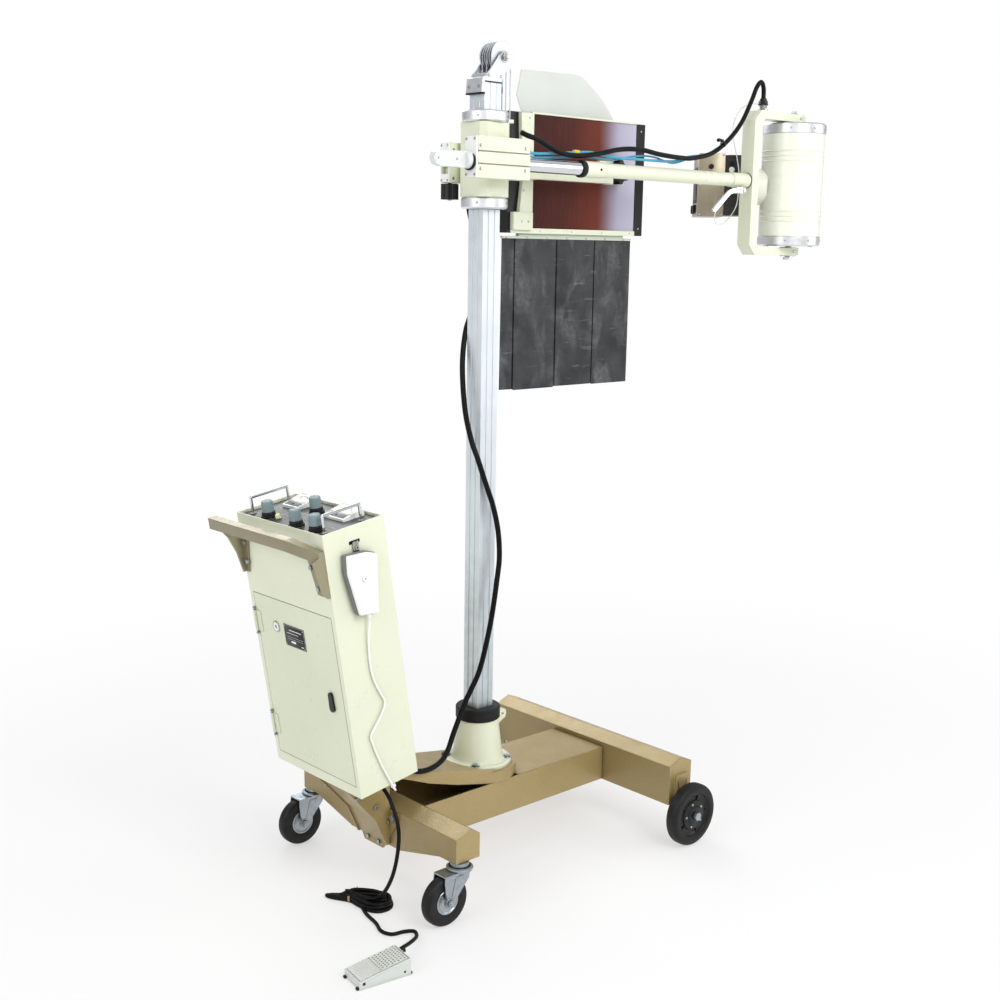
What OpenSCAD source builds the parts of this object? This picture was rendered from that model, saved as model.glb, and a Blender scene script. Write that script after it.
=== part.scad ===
// Mobile column X-ray stand: an H-shaped wheeled base carries a swivelling
// square column. A counterweighted carriage runs on the column and holds a
// horizontal arm with a yoke and tube head on its -Y side, and a fluoroscopy
// screen with a lead-rubber apron on its +Y side. The control cabinet stands
// tilted at the -X end with the push handle. The base's front is its -X end,
// its rear the +X end; the nodes named left lie on +Y. Millimetres, +Z up, +X
// along the arm. The origin is on the floor at the centre of the whole unit's
// footprint; the modules are drawn about the column axis and then moved there.

/* [Base frame] */
// Height of the main beam's top face above the floor
beam_top = 206; // [202:1:208]
// Width of the main beam
beam_w = 200; // [190:2:206]
// Length of the rear cross-beam, across the base
rear_len = 699; // [660:1:740]
// Length of the front cross-beam, across the base
front_len = 634; // [600:1:680]
// Wall of the folded sheet beams
beam_wall = 4; // [3:0.5:6]

/* [Wheels] */
// Radius of the rear wheels
rear_r = 86; // [82:1:88]
// Width of the rear wheels
rear_w = 36; // [30:1:40]
// Radius of the swivel caster wheels
caster_r = 63; // [60:0.5:64]
// Width of the caster wheels
caster_w = 32; // [28:1:34]
// Trail of the casters from their stems, towards -X
trail = 48; // [46:1:50]

/* [Column] */
// Side of the square column
col_s = 55; // [52:1:56]
// Height of the column's top end
col_top = 1985; // [1960:1:2000]
// Wall of the column profile
col_wall = 3; // [2.5:0.5:4]
// Length of the counterweight inside the column
weight_len = 600; // [500:10:640]

/* [Carriage] */
// Outer radius of the two end rings
ring_r = 58; // [56:1:60]
// Half-width of the carriage sleeve
sleeve_h = 49; // [47:1:50]
// Height of the arm's axis above the floor
arm_z = 1790; // [1786:1:1796]

/* [Arm and head] */
// Radius of the chromed rod
rod_r = 17; // [15:0.5:18]
// Radius of the painted arm tube
tube_r = 18.5; // [16:0.5:19]
// Radius of the tube housing
head_r = 90; // [84:1:94]
// Height of the tube housing with both caps
head_h = 351; // [340:1:356]
// Angle of the beam limiter about the housing's axis
limiter_a = 135; // [128:1:138]

/* [Screen] */
// Width of the screen panel
screen_w = 438; // [420:2:438]
// Height of the screen panel
screen_h = 295; // [280:1:300]
// Length of the hanging lead-rubber apron
apron_l = 409; // [300:1:420]

/* [Cabinet] */
// Tilt of the control cabinet away from the column, in degrees
tilt = 9.2; // [8:0.1:10]
// Height of the cabinet along its own slope
cab_h = 655; // [640:1:670]
// Width of the cabinet
cab_w = 351; // [346:1:356]
// Depth of the cabinet
cab_d = 171; // [166:1:176]
// Sheet thickness of the cabinet
cab_t = 2; // [1.5:0.1:3]

/* [Hidden] */

cream = [0.90, 0.89, 0.76];
bronze = [0.60, 0.52, 0.35];
black = [0.06, 0.06, 0.07];
steel = [0.75, 0.76, 0.78];
aluminium = [0.82, 0.84, 0.88];
panel_grey = [0.25, 0.28, 0.26];
meter_white = [0.92, 0.92, 0.93];
core_grey = [0.35, 0.33, 0.3];
knob_grey = [0.45, 0.5, 0.52];
handset_white = [0.93, 0.93, 0.92];
button_grey = [0.5, 0.5, 0.52];
pedal_grey = [0.72, 0.75, 0.70];
rope_blue = [0.35, 0.6, 0.7];
weight_grey = [0.3, 0.3, 0.32];
ring_white = [0.93, 0.93, 0.94];
plate_white = [0.86, 0.87, 0.88];
handle_white = [0.93, 0.94, 0.92];
glass = [0.7, 0.8, 0.8];
limiter_brown = [0.45, 0.40, 0.35];
screen_brown = [0.42, 0.18, 0.12];
clear_sheet = [0.92, 0.94, 0.92, 0.9];
rubber_grey = [0.22, 0.22, 0.23];

// footprint centre, measured from the column axis
centre_x = 266;
centre_y = -7;
play = 0.05; // radial running clearance

// ---------- helpers ----------
// The Y ends of box, cyl_y and prism_y may come in either order.
module placed() translate([-centre_x, -centre_y, 0]) children();
module box(x0, x1, y0, y1, z0, z1)
  translate([x0, min(y0, y1), z0]) cube([x1 - x0, abs(y1 - y0), z1 - z0]);
module cyl_z(x, y, z0, z1, r, n = 64)
  translate([x, y, z0]) cylinder(h = z1 - z0, r = r, $fn = n);
module cyl_y(x, z, y0, y1, r, n = 64)
  translate([x, max(y0, y1), z]) rotate([90, 0, 0]) cylinder(h = abs(y1 - y0), r = r, $fn = n);
module cyl_x(y, z, x0, x1, r, n = 64)
  translate([x0, y, z]) rotate([0, 90, 0]) cylinder(h = x1 - x0, r = r, $fn = n);
// hexagon head standing towards -X from x
module hex_head(x, y, z, h, r)
  translate([x, y, z]) rotate([0, -90, 0]) cylinder(h = h, r = r, $fn = 6);
// outline in X-Z, extruded along Y
module prism_y(y0, y1, outline)
  translate([0, max(y0, y1), 0]) rotate([90, 0, 0]) linear_extrude(abs(y1 - y0)) polygon(outline);
// outline in Y-Z, extruded along X
module prism_x(x0, x1, outline)
  translate([x0, 0, 0]) rotate([90, 0, 90]) linear_extrude(x1 - x0) polygon(outline);

// Round cable: a Catmull-Rom curve through the points, swept with a frame that
// is carried along the curve without twisting.
function curve_point(a, b, c, d, t) = 0.5 * ((2 * b) + (c - a) * t
  + (2 * a - 5 * b + 4 * c - d) * t * t + (3 * b - a - 3 * c + d) * t * t * t);
function smooth(points, steps) = let(n = len(points)) concat(
  [for (i = [0:n - 2]) for (j = [0:steps - 1])
    curve_point(points[max(i - 1, 0)], points[i], points[i + 1],
      points[min(i + 2, n - 1)], j / steps)],
  [points[n - 1]]);
function unit(v) = v / norm(v);
function tangents(path) = let(n = len(path))
  [for (i = [0:n - 1]) unit(path[min(i + 1, n - 1)] - path[max(i - 1, 0)])];
function normals(along, i = 0, last = [0.31, 0.77, 0.55], found = []) =
  i == len(along) ? found
  : let(next = unit(last - (last * along[i]) * along[i]))
    normals(along, i + 1, next, concat(found, [next]));
module cable(points, r, steps, sides) {
  path = smooth(points, steps);
  along = tangents(path);
  across = normals(along);
  count = len(path);
  skin = [for (i = [0:count - 1]) let(third = cross(along[i], across[i]))
    for (j = [0:sides - 1])
      path[i] + r * (cos(360 * j / sides) * across[i] + sin(360 * j / sides) * third)];
  faces = concat(
    [[for (j = [0:sides - 1]) j]],
    [for (i = [0:count - 2]) for (j = [0:sides - 1])
      let(a = i * sides + j, b = i * sides + (j + 1) % sides) [a, a + sides, b + sides, b]],
    [[for (j = [sides - 1:-1:0]) (count - 1) * sides + j]]);
  polyhedron(points = skin, faces = faces, convexity = 6);
}

// ---------- base frame ----------
// X faces of the cross-beams
front_x0 = -345;
front_x1 = -270;
rear_x0 = 390;
rear_x1 = 479;
beam_z0 = 110;
half_beam = beam_w / 2;
half_rear = rear_len / 2;
half_front = front_len / 2;
// rear axles and caster stems
axle_x = 434;
axle_y = 390;
axle_z = rear_r;
axle_r = 8;
stem_x = -322;
stem_y = 303;
stem_z = 149;
stem_r = 8;
seat_z = 236; // top of the round seat plate
seat_bolts = [for (a = [45:90:315]) 80 * [cos(a), sin(a)]]; // x, y
gusset_bolts = [[-80, 192], [80, 192]]; // y, z

module main_beam() color(bronze) difference() {
  inner = half_beam - beam_wall;
  box(front_x1, rear_x0, -half_beam, half_beam, beam_z0, beam_top);
  box(front_x1 - 1, rear_x0 + 1, -inner, inner, beam_z0 + beam_wall, beam_top - beam_wall);
  // open top from the front end to just past the column
  box(front_x1 - 1, 62, -inner, inner, beam_top - 20, beam_top + 1);
}

module rear_section(half, inset) prism_y(-half, half, [
  [rear_x0 + inset, 108 + inset], [rear_x1 - inset, 108 + inset],
  [rear_x1 - inset, 218 - inset * 0.7], [(rear_x0 + rear_x1) / 2, 236 - inset],
  [rear_x0 + inset, 218 - inset * 0.7]]);
module rear_crossbeam() color(bronze) {
  difference() {
    rear_section(half_rear, 0);
    rear_section(half_rear - beam_wall, beam_wall);
  }
  // axle bosses on both ends
  for (s = [-1, 1]) difference() {
    union() {
      box(axle_x - 24, axle_x + 24, s * half_rear, s * (half_rear + 8), axle_z, 190);
      cyl_y(axle_x, axle_z, s * half_rear, s * (half_rear + 8), 24);
    }
    cyl_y(axle_x, axle_z, s * (half_rear - 1), s * (half_rear + 9), axle_r);
  }
}

// roofed section whose underside steps up towards both ends
module front_section(half, inset) intersection() {
  prism_y(-half, half, [
    [front_x0 + inset, 90 + inset], [front_x1 - inset, 90 + inset],
    [front_x1 - inset, 211 - inset * 0.7], [-300, 229 - inset],
    [front_x0 + inset, 211 - inset * 0.7]]);
  prism_x(front_x0 - 1, front_x1 + 1, [
    [-half, stem_z + inset], [-255, stem_z + inset], [-100, beam_z0 + inset],
    [100, beam_z0 + inset], [255, stem_z + inset], [half, stem_z + inset],
    [half, 240], [-half, 240]]);
}
module front_crossbeam() color(bronze) difference() {
  front_section(half_front, 0);
  front_section(half_front - beam_wall, beam_wall);
  for (s = [-1, 1]) cyl_z(stem_x, s * stem_y, stem_z - 1, stem_z + beam_wall + 1, 9);
}

// Round seat plate, sloping channel-shaped tongue that rises over the front
// beam to the cabinet, ribs under the cabinet and the V-shaped gusset bolted
// to the front beam.
module tongue_plan(inset) translate([0, 0, 190]) linear_extrude(140) polygon([
  [0, 101 - inset], [0, inset - 101], [-60, inset - 94], [-352 - inset, inset - 66],
  [-352 - inset, 66 - inset], [-60, 94 - inset]]);
module cabinet_bracket() color(bronze) {
  difference() {
    union() {
      cyl_z(0, 0, beam_top, seat_z, 104, 96);
      intersection() {
        prism_y(-102, 102, [
          [0, 206], [-40, 206], [-90, 216], [-144, 227], [-231, 251], [-293, 275],
          [-352, 297], [-352, 306.4], [-20, 240], [0, 236]]);
        tongue_plan(0);
      }
    }
    // hollow under the tongue, short of the seat plate
    difference() {
      intersection() {
        prism_y(-99, 99, [[-20, 195], [-360, 195], [-360, 301.8], [-20, 233.8]]);
        tongue_plan(6);
      }
      cyl_z(0, 0, 190, 320, 97, 96);
    }
    for (p = seat_bolts) cyl_z(p[0], p[1], 200, 240, 5.5, 32);
    // seat for the column's foot flange
    cyl_z(0, 0, seat_z, 260, 97, 96);
  }
  // ribs
  for (y = [-62, 56]) prism_y(y, y + 6, [
    [-338, 297], [-338, 303], [-354, 340], [-500, 316.6], [-484, 296], [-392, 192],
    [-356, 114], [-347, 114], [-347, 232], [-345, 290]]);
  // cabinet seat plate
  on_cabinet() box(8, 163, -90, 90, -5, 0);
  // sloping web between the ribs
  prism_y(-58, 58, [
    [-352, 116], [-388, 194], [-482, 301], [-476, 303], [-383, 196], [-348.5, 118]]);
  // V plate against the front beam
  difference() {
    prism_x(front_x0 - 5, front_x0, [
      [-38, 97], [38, 97], [98, 186], [98, 208], [-98, 208], [-98, 186]]);
    for (p = gusset_bolts) cyl_x(p[0], p[1], front_x0 - 6, front_x0 + 1, 5);
  }
}

module base_bolts() color(steel) {
  for (p = seat_bolts) {
    cyl_z(p[0], p[1], 246, 252.5, 8, 6);
    cyl_z(p[0], p[1], 222, 246, 5, 32);
  }
  for (p = gusset_bolts) hex_head(front_x0 - 5, p[0], p[1], 6.5, 8);
  on_cabinet() {
    for (p = handle_bolts) hex_head(-5, p[0], p[1], 5, 6);
    // door hinge pins with their end blocks
    for (h = hinge_spans) {
      cyl_z(hinge_x, hinge_y, h[0], h[1], hinge_pin_r, 24);
      for (z = [h[0] - 4, h[1]]) box(-7, 0, hinge_y - 3, hinge_y + 3, z, z + 4);
    }
  }
}

module wheel_studs() color(steel) for (s = [-1, 1]) {
  // caster stems
  cyl_z(stem_x, s * stem_y, 128, 170, stem_r);
  cyl_z(stem_x, s * stem_y, 139, stem_z, 23);
  cyl_z(stem_x, s * stem_y, 128, 131, 11.5, 6);
  // rear axles with outer hexagon and inner collar
  cyl_y(axle_x, axle_z, s * (half_rear - 0.5), s * 412, axle_r);
  cyl_y(axle_x, axle_z, s * 410, s * 419, 12, 6);
  cyl_y(axle_x, axle_z, s * 358, s * 369, 14);
}

module column_seat() color(cream) difference() {
  union() {
    rotate_extrude($fn = 128) polygon([
      [0, seat_z], [91, seat_z], [91, 243], [88, 246], [76, 246], [70, 250],
      [67.5, 256], [55, 357.5], [0, 357.5]]);
    // lug on the +X side
    prism_y(-5, 5, [
      [50, 318], [66, 318], [84, 330], [96, 336], [100, 346], [98, 357],
      [90, 362], [76, 362], [60, 357], [50, 357]]);
  }
  cyl_z(0, 0, 230, 370, spigot_r + play, 96);
  cyl_y(86, 348, -6, 6, 4);
  for (p = seat_bolts) cyl_z(p[0], p[1], 230, 250, 5.5, 32);
}

// ---------- control cabinet ----------
// Drawn upright: x = 0 is the door face, away from the column, z = 0 the floor.
cab_x = -517.3;
cab_z = 317.2;
cab_side = cab_w / 2;
panel_z0 = 644;
panel_top = 648;
panel_rim = 3;
spindle_r = 3;
knob_spots = [[32, 85], [27, -37], [112, 4], [28, -114]]; // x, y
meter_spans = [[62, 128], [-120, -40]]; // y
handle_bolts = [[152, 584], [152, 536], [-121, 572], [-139, 524]]; // y, z
// door outline, and its gap in the opening
door_half = 160;
door_z0 = 28;
door_z1 = 454;
door_gap = 1.5;
door_skin = 1.6;
hinge_x = -4.2;
hinge_y = 163.5;
hinge_pin_r = 2;
hinge_spans = [[74, 136], [350, 412]]; // z
latch_y = -115;
latch_z = 236;
latch_r = 4;
button_x = 78;
button_z = 535;
button_r = 7;

module on_cabinet() translate([cab_x, 0, cab_z]) rotate([0, -tilt, 0]) children();
module cabinet_shell() color(cream) on_cabinet() difference() {
  inner = cab_side - cab_t;
  rim = cab_side - panel_rim;
  opening = door_half + door_gap;
  box(0, cab_d, -cab_side, cab_side, 0, cab_h);
  box(cab_t, cab_d - cab_t, -inner, inner, cab_t, panel_z0);
  box(panel_rim, cab_d - panel_rim, -rim, rim, 630, cab_h + 1);
  box(-1, cab_t + 1, -opening, opening, door_z0 - door_gap, door_z1 + door_gap);
  // slot for the handset's hook
  box(68, 98, -cab_side - 1, -cab_side + 6, 612, 620);
}
module control_panel() color(panel_grey) on_cabinet() difference() {
  rim = cab_side - panel_rim;
  box(panel_rim, cab_d - panel_rim, -rim, rim, panel_z0, panel_top);
  for (p = knob_spots) cyl_z(p[0], p[1], 638, 653, spindle_r + play, 32);
}
module panel_handles() color(steel) on_cabinet() for (y = [-146, 146]) {
  bar_top = 688;
  posts = [27, 130];
  cyl_x(y, bar_top, posts[0], posts[1], 3.5, 32);
  for (x = posts) {
    cyl_z(x, y, panel_top, bar_top, 3.5, 32);
    translate([x, y, bar_top]) sphere(r = 3.5, $fn = 32);
    cyl_z(x, y, panel_top, panel_top + 2.5, 7, 32);
  }
}
module panel_meters() color(meter_white) on_cabinet() for (y = meter_spans)
  prism_y(y[0], y[1], [[98, panel_top], [160, panel_top], [160, 666], [98, 655]]);
module push_handle() color(bronze) on_cabinet() {
  box(-54, -32, -106, 220, 621, 648);
  // the -Y end turns in and down to the cabinet's corner
  hull() {
    box(-54, -32, -107, -104, 621, 648);
    box(-14, 0, -174, -170, 590, 618);
  }
  prism_y(-174, -169, [
    [0, 508], [-8, 508], [-20, 524], [-31, 582], [-34, 600], [-14, 606], [0, 606]]);
  prism_x(-5, 0, [[-172, 606], [-108, 596], [-131, 508], [-172, 508]]);
  // +Y bracket
  prism_y(166, 172, [
    [-48, 630], [-36, 630], [0, 606], [0, 508], [-12, 508], [-22, 560], [-38, 602], [-48, 616]]);
  prism_x(-5, 0, [[138, 596], [172, 596], [172, 508], [156, 508]]);
}
module transformer() color(core_grey) on_cabinet() {
  difference() {
    box(26, 146, -70, 70, 30, 150);
    for (y = [-30, 30]) box(40, 132, y - 16, y + 16, 56, 124);
  }
  for (y = [-30, 30]) box(41, 131, y - 15, y + 15, 57, 123);
  box(26, 146, -80, 80, cab_t, 30);
}
module cabinet_door() color(cream) on_cabinet() {
  difference() {
    inner = door_half - door_skin;
    box(0, 12, -door_half, door_half, door_z0, door_z1);
    box(door_skin, 13, -inner, inner, door_z0 + door_skin, door_z1 - door_skin);
    cyl_x(latch_y, latch_z, -1, 19, latch_r + play, 32);
  }
  // hinge barrels between the end blocks
  for (h = hinge_spans) difference() {
    union() {
      cyl_z(hinge_x, hinge_y, h[0] + 4.5, h[1] - 4.5, 4, 32);
      box(-2, 0, 142, 162, h[0] + 4.5, h[1] - 4.5);
    }
    cyl_z(hinge_x, hinge_y, h[0] + 3.5, h[1] - 3.5, hinge_pin_r + play, 32);
  }
}
module door_latch() color(black) on_cabinet() {
  translate([-5.5, latch_y, latch_z]) rotate([0, 90, 0]) linear_extrude(5.3) union() {
    translate([16, 0]) circle(r = 9, $fn = 48);
    translate([-17, 0]) circle(r = 7.5, $fn = 48);
    polygon([[16, 9], [16, -9], [-17, -7.5], [-17, 7.5]]);
  }
  cyl_x(latch_y, latch_z, -0.3, 8.7, latch_r, 32);
  // tongue behind the door
  box(4, 7, -135, -111, latch_z - 4, latch_z + 4);
}
module knob(index) color(knob_grey) on_cabinet()
  translate([knob_spots[index][0], knob_spots[index][1], 0]) {
    cyl_z(0, 0, 640, 650, spindle_r, 32);
    cyl_z(0, 0, 648.5, 653, 19, 48);
    cyl_z(0, 0, 653, 662, 16, 48);
    cyl_z(0, 0, 662, 688, 13, 48);
  }
// hangs by its hook on the cabinet's -Y side
module handset() color(handset_white) on_cabinet() difference() {
  union() {
    prism_y(-cab_side - 28, -cab_side - 4, [
      [40, 599], [96, 593], [124, 582], [106, 441], [53, 451], [36, 556]]);
    box(72, 94, -cab_side - 4, -cab_side - 0.5, 560, 606);
    box(74, 92, -cab_side - 4, -cab_side + 3.5, 613.5, 618);
    box(74, 92, -cab_side - 4, -cab_side - 0.5, 600, 618);
  }
  cyl_y(button_x, button_z, -cab_side - 33, -cab_side - 15, button_r + play, 48);
}
module exposure_button() color(button_grey) on_cabinet()
  cyl_y(button_x, button_z, -cab_side - 31, -cab_side - 22, button_r, 48);

// ---------- foot switch and floor cables ----------
pedal_x = -58; // hinge axis
pedal_z = 13;
pedal_half = 32.4;

module on_foot_switch() translate([-628, -388, 0]) rotate([0, 0, -9]) children();
module foot_switch_base() color(pedal_grey) on_foot_switch() difference() {
  prism_y(-36, 36, [[-69.2, 0], [60, 0], [60, 40], [54, 40], [-69.2, 19]]);
  prism_y(-33, 33, [[-66.2, 4], [57, 4], [57, 50], [-66.2, 50]]);
  cyl_y(pedal_x, pedal_z, -37, 37, 3);
}
module foot_pedal() color(pedal_grey) on_foot_switch() {
  prism_y(-pedal_half, pedal_half, [
    [-65.6, 18], [-65.6, 21.5], [-60, 22.5], [52, 42.6], [53.4, 41.4], [53.4, 39.4], [-60, 19]]);
  cyl_y(pedal_x, pedal_z, -pedal_half, pedal_half, 5.5);
  box(pedal_x - 4, pedal_x + 4, -pedal_half, pedal_half, 14, 20.2);
  cyl_y(pedal_x, pedal_z, -36, 36, 3 - play);
}
// stations x, y, z
module base_cables() color(black) {
  // column cable's lower run, over the bracket into the cabinet's floor
  cable([
    [-62, -42, 430], [-78, -46, 402], [-112, -46, 352], [-160, -44, 313], [-215, -42, 298],
    [-265, -41, 300], [-310, -41, 309], [-338, -41, 318], [-352, -41, 326]], 7, 6, 12);
  // foot-switch cable: hangs from the cabinet
  cable([
    [-424, -118, 318], [-428, -170, 286], [-432, -206, 232], [-436, -210, 176],
    [-440, -188, 104], [-446, -150, 44], [-458, -110, 16], [-474, -84, 8]], 5, 6, 10);
  // bundle on the floor
  cable([
    [-520, 10, 7], [-500, -18, 9], [-482, -48, 14], [-462, -84, 18], [-446, -112, 18],
    [-436, -140, 14], [-448, -158, 8]], 5, 6, 10);
  // tail to the switch
  cable([
    [-478, -112, 6], [-486, -150, 5], [-496, -200, 5], [-510, -240, 5], [-500, -268, 5],
    [-472, -276, 5], [-456, -292, 5], [-470, -320, 6], [-510, -350, 10], [-560, -372, 16],
    [-568, -376, 18]], 4.5, 6, 10);
}

// ---------- column ----------
post_z0 = 358; // lower end of the square profile
spigot_r = 42;
pulley_x = 35;
pulley_z = 2046;
pulley_r = 37;
pin_r = 8;
rope_r = 1.5;
rope_turn_r = 32; // pulley axis to rope centre
rope_x = pulley_x + rope_turn_r; // falls to the carriage
weight_x = pulley_x - rope_turn_r; // falls to the counterweight
rope_spots = [-16, 0, 16]; // y
weight_z0 = 410;
weight_top = weight_z0 + weight_len;

// two shallow grooves in each face
module face_grooves() for (a = [0:90:270]) rotate(a) for (y = [-10, 10])
  translate([col_s / 2 - 1.6, y - 2]) square([3, 4]);
module column_post() color(aluminium) {
  inner = col_s - 2 * col_wall;
  translate([0, 0, post_z0]) linear_extrude(col_top - post_z0) difference() {
    translate([-col_s / 2, -col_s / 2]) square(col_s);
    translate([-inner / 2, -inner / 2]) square(inner);
    face_grooves();
  }
  cyl_z(0, 0, 240, post_z0, spigot_r, 96);
}
module column_collar() color(black) difference() {
  rotate_extrude($fn = 96) polygon([
    [0, 358.5], [57, 358.5], [59.5, 361], [59.5, 389], [57, 392], [0, 392]]);
  box(-col_s / 2, col_s / 2, -col_s / 2, col_s / 2, 350, 400);
}
module pulley_bracket() color(aluminium) union() {
  for (s = [-1, 1]) {
    prism_y(s * 25, s * 29, [
      [-24, 1992], [36, 1992], [40, 2012], [56, 2038], [54, 2054], [45, 2060],
      [30, 2058], [16, 2046], [-8, 2016], [-22, 2000]]);
    box(-27.5, 27.5, s * 18, s * 29, 1985, 1992);
    cyl_y(pulley_x, pulley_z, s * 29, s * 36, 9, 6);
  }
  box(-24, -10, -25, 25, 1992, 2004);
  // clip block on the cabinet-side face
  prism_y(-29, 29, [
    [-27.6, 1958], [-39, 1958], [-36, 1992], [-24, 1998], [-24, 1986], [-27.6, 1986]]);
  cyl_y(pulley_x, pulley_z, -25, 25, pin_r);
}
module rope_pulley() color(steel)
  translate([pulley_x, 0, pulley_z]) rotate([90, 0, 0]) difference() {
    // radius, offset along the axis
    groove = [[pulley_r, -3.4], [29.6, -1.9], [29.6, 1.9], [pulley_r, 3.4]];
    rotate_extrude($fn = 128) polygon(concat(
      [[0, -22], [pulley_r, -22]],
      [for (i = [-2:2]) for (p = groove) [p[0], i * 8 + p[1]]],
      [[pulley_r, 22], [0, 22]]));
    translate([0, 0, -23]) cylinder(h = 46, r = pin_r + play, $fn = 64);
  }
module hoist_ropes() color(rope_blue) for (y = rope_spots) {
  cyl_z(rope_x, y, 1903, pulley_z, rope_r, 24);
  cyl_z(weight_x, y, weight_top + 6.5, pulley_z, rope_r, 24);
  translate([pulley_x, y, pulley_z]) rotate([90, 0, 0]) rotate_extrude(angle = 180, $fn = 96)
    translate([rope_turn_r, 0]) circle(r = rope_r, $fn = 24);
}
module counterweight() color(weight_grey) {
  box(-20, 20, -20, 20, weight_z0, weight_top);
  cyl_z(weight_x, 0, weight_top, weight_top + 6, 18);
}

// ---------- carriage ----------
arm_y = -92;
sleeve_z0 = 1712;
sleeve_z1 = 1890;
ring_tall = 28;
// screen bar's axis and half-section
bar_y = 67;
bar_z = 1776;
bar_half_y = 12.5;
bar_half_z = 8;
clamp_knob_x = -56;

module bar_section(x0, x1, gap) box(x0, x1,
  bar_y - bar_half_y - gap, bar_y + bar_half_y + gap,
  bar_z - bar_half_z - gap, bar_z + bar_half_z + gap);
// square of the given half-width with cut corners
module octagon(half, cut) polygon([
  [half, half - cut], [half - cut, half], [cut - half, half], [-half, half - cut],
  [-half, cut - half], [cut - half, -half], [half - cut, -half], [half, cut - half]]);
module carriage_sleeve() color(cream) {
  translate([0, 0, sleeve_z0]) linear_extrude(sleeve_z1 - sleeve_z0) difference() {
    octagon(sleeve_h, 14);
    octagon(sleeve_h - 5, 12);
  }
  // rope lug on the +X side
  difference() {
    box(sleeve_h, 76, -22, 22, 1893, 1902);
    for (y = rope_spots) cyl_z(rope_x, y, 1890, 1905, 0.9, 24);
  }
  box(sleeve_h, 60, -22, 22, 1850, 1893);
  box(40, 49.5, -22, 22, 1880, 1889);
}
module ring(z0) difference() {
  z1 = z0 + ring_tall;
  rotate_extrude($fn = 96) polygon([
    [0, z0], [ring_r - 4, z0], [ring_r, z0 + 4], [ring_r, z1 - 4], [ring_r - 4, z1], [0, z1]]);
  translate([0, 0, z0 - 1]) linear_extrude(ring_tall + 2) square(col_s + 0.5, center = true);
}
module carriage_rings() color(ring_white) difference() {
  union() {
    ring(sleeve_z0 - ring_tall);
    ring(sleeve_z1);
  }
  // room for the rope lug
  box(46, 62, -23, 23, sleeve_z1 - 0.1, 1930);
}
module arm_block() color(cream) difference() {
  union() {
    box(-122, 48, -114, -70, 1752, 1848);
    box(-46, 46, -70, -49, 1760, 1840);
  }
  // grooves along the outer face
  for (z = [1783, 1812]) box(-123, 49, -115, -111.5, z, z + 3);
  cyl_x(arm_y, arm_z, -130, 60, rod_r + play, 96);
}
module screen_block() color(cream) difference() {
  union() {
    box(-68, 48, 50, 84, 1746, 1842);
    box(-46, 46, 49, 50, 1760, 1830);
  }
  bar_section(-70, 60, 0.1);
  for (z = [1825, 1757]) cyl_y(-58, z, 49, 56, 4, 32);
  cyl_z(clamp_knob_x, bar_y, 1740, bar_z, 4 + play, 32);
}
module block_end_plates() color(plate_white) {
  difference() {
    box(-127, -122, -113, -71, 1753, 1847);
    cyl_x(arm_y, arm_z, -130, -120, rod_r + 0.4, 64);
  }
  difference() {
    box(-73, -68, 51, 83, 1747, 1841);
    bar_section(-80, -60, 0.5);
  }
}
// stations x, y, z
module column_cable() color(black) cable([
  [6, 67, 1745], [4, 67, 1690], [-24, 66, 1560], [-54, 50, 1440], [-74, 22, 1350],
  [-78, -6, 1250], [-62, -34, 1130], [-47, -55, 1000], [-40, -66, 880], [-42, -64, 760],
  [-48, -54, 620], [-56, -44, 500], [-61, -42, 437]], 7, 5, 12);
module screen_clamp_knob() color(black) {
  cyl_z(clamp_knob_x, bar_y, 1730, 1766, 4, 32);
  difference() {
    cyl_z(clamp_knob_x, bar_y, 1706, 1744, 22, 48);
    for (a = [0:60:300])
      cyl_z(clamp_knob_x + 25 * cos(a), bar_y + 25 * sin(a), 1700, 1750, 7, 24);
  }
}

// ---------- arm ----------
rod_end = 262;
swivel_r = 12; // yoke stub inside the arm tube's end
// pin of the clamp under the tube's outer end
clamp_x = 888;
clamp_z = 1761;

module arm_rod() color(steel) cyl_x(arm_y, arm_z, -132, rod_end, rod_r, 96);
module arm_handle() color(handle_white) difference() {
  union() {
    cyl_x(arm_y, arm_z + 2, -150, -128, 20);
    prism_y(arm_y - 9, arm_y + 9, [
      [-150, 1773], [-226, 1774], [-240, 1779], [-246, 1792], [-240, 1805],
      [-226, 1810], [-150, 1811]]);
  }
  cyl_x(arm_y, arm_z, -140, -120, rod_r, 64);
}
module arm_tube() color(cream) difference() {
  union() {
    cyl_x(arm_y, arm_z, 253, 320, 20.5, 64);
    cyl_x(arm_y, arm_z, 320, 850, tube_r, 64);
    cyl_x(arm_y, arm_z, 848, 921.5, 20.5, 64);
    // clamp lug
    box(clamp_x - 16, clamp_x + 16, arm_y - 9, arm_y + 9, 1755, arm_z - 16);
    cyl_y(clamp_x, clamp_z, arm_y - 12, arm_y + 12, 8, 48);
  }
  cyl_x(arm_y, arm_z, 250, rod_end, rod_r, 64);
  cyl_x(arm_y, arm_z, rod_end, 830, tube_r - 3, 64);
  cyl_x(arm_y, arm_z, 850, 925, swivel_r + play, 64);
  box(clamp_x - 18, clamp_x + 18, arm_y - 1, arm_y + 1, 1740, arm_z - 12);
  cyl_y(clamp_x, clamp_z, arm_y - 20, arm_y + 20, 4 + play, 32);
}
module clamp_lever() color(steel) {
  cyl_y(clamp_x, clamp_z, arm_y - 18, arm_y + 16, 4, 32);
  cyl_y(clamp_x, clamp_z, arm_y - 24, arm_y - 12.5, 8, 32);
  prism_y(arm_y - 24, arm_y - 18, [
    [884, 1768], [864, 1768], [836, 1764], [818, 1758], [756, 1709], [754, 1700],
    [764, 1698], [826, 1748], [842, 1753], [888, 1753]]);
}
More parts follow.
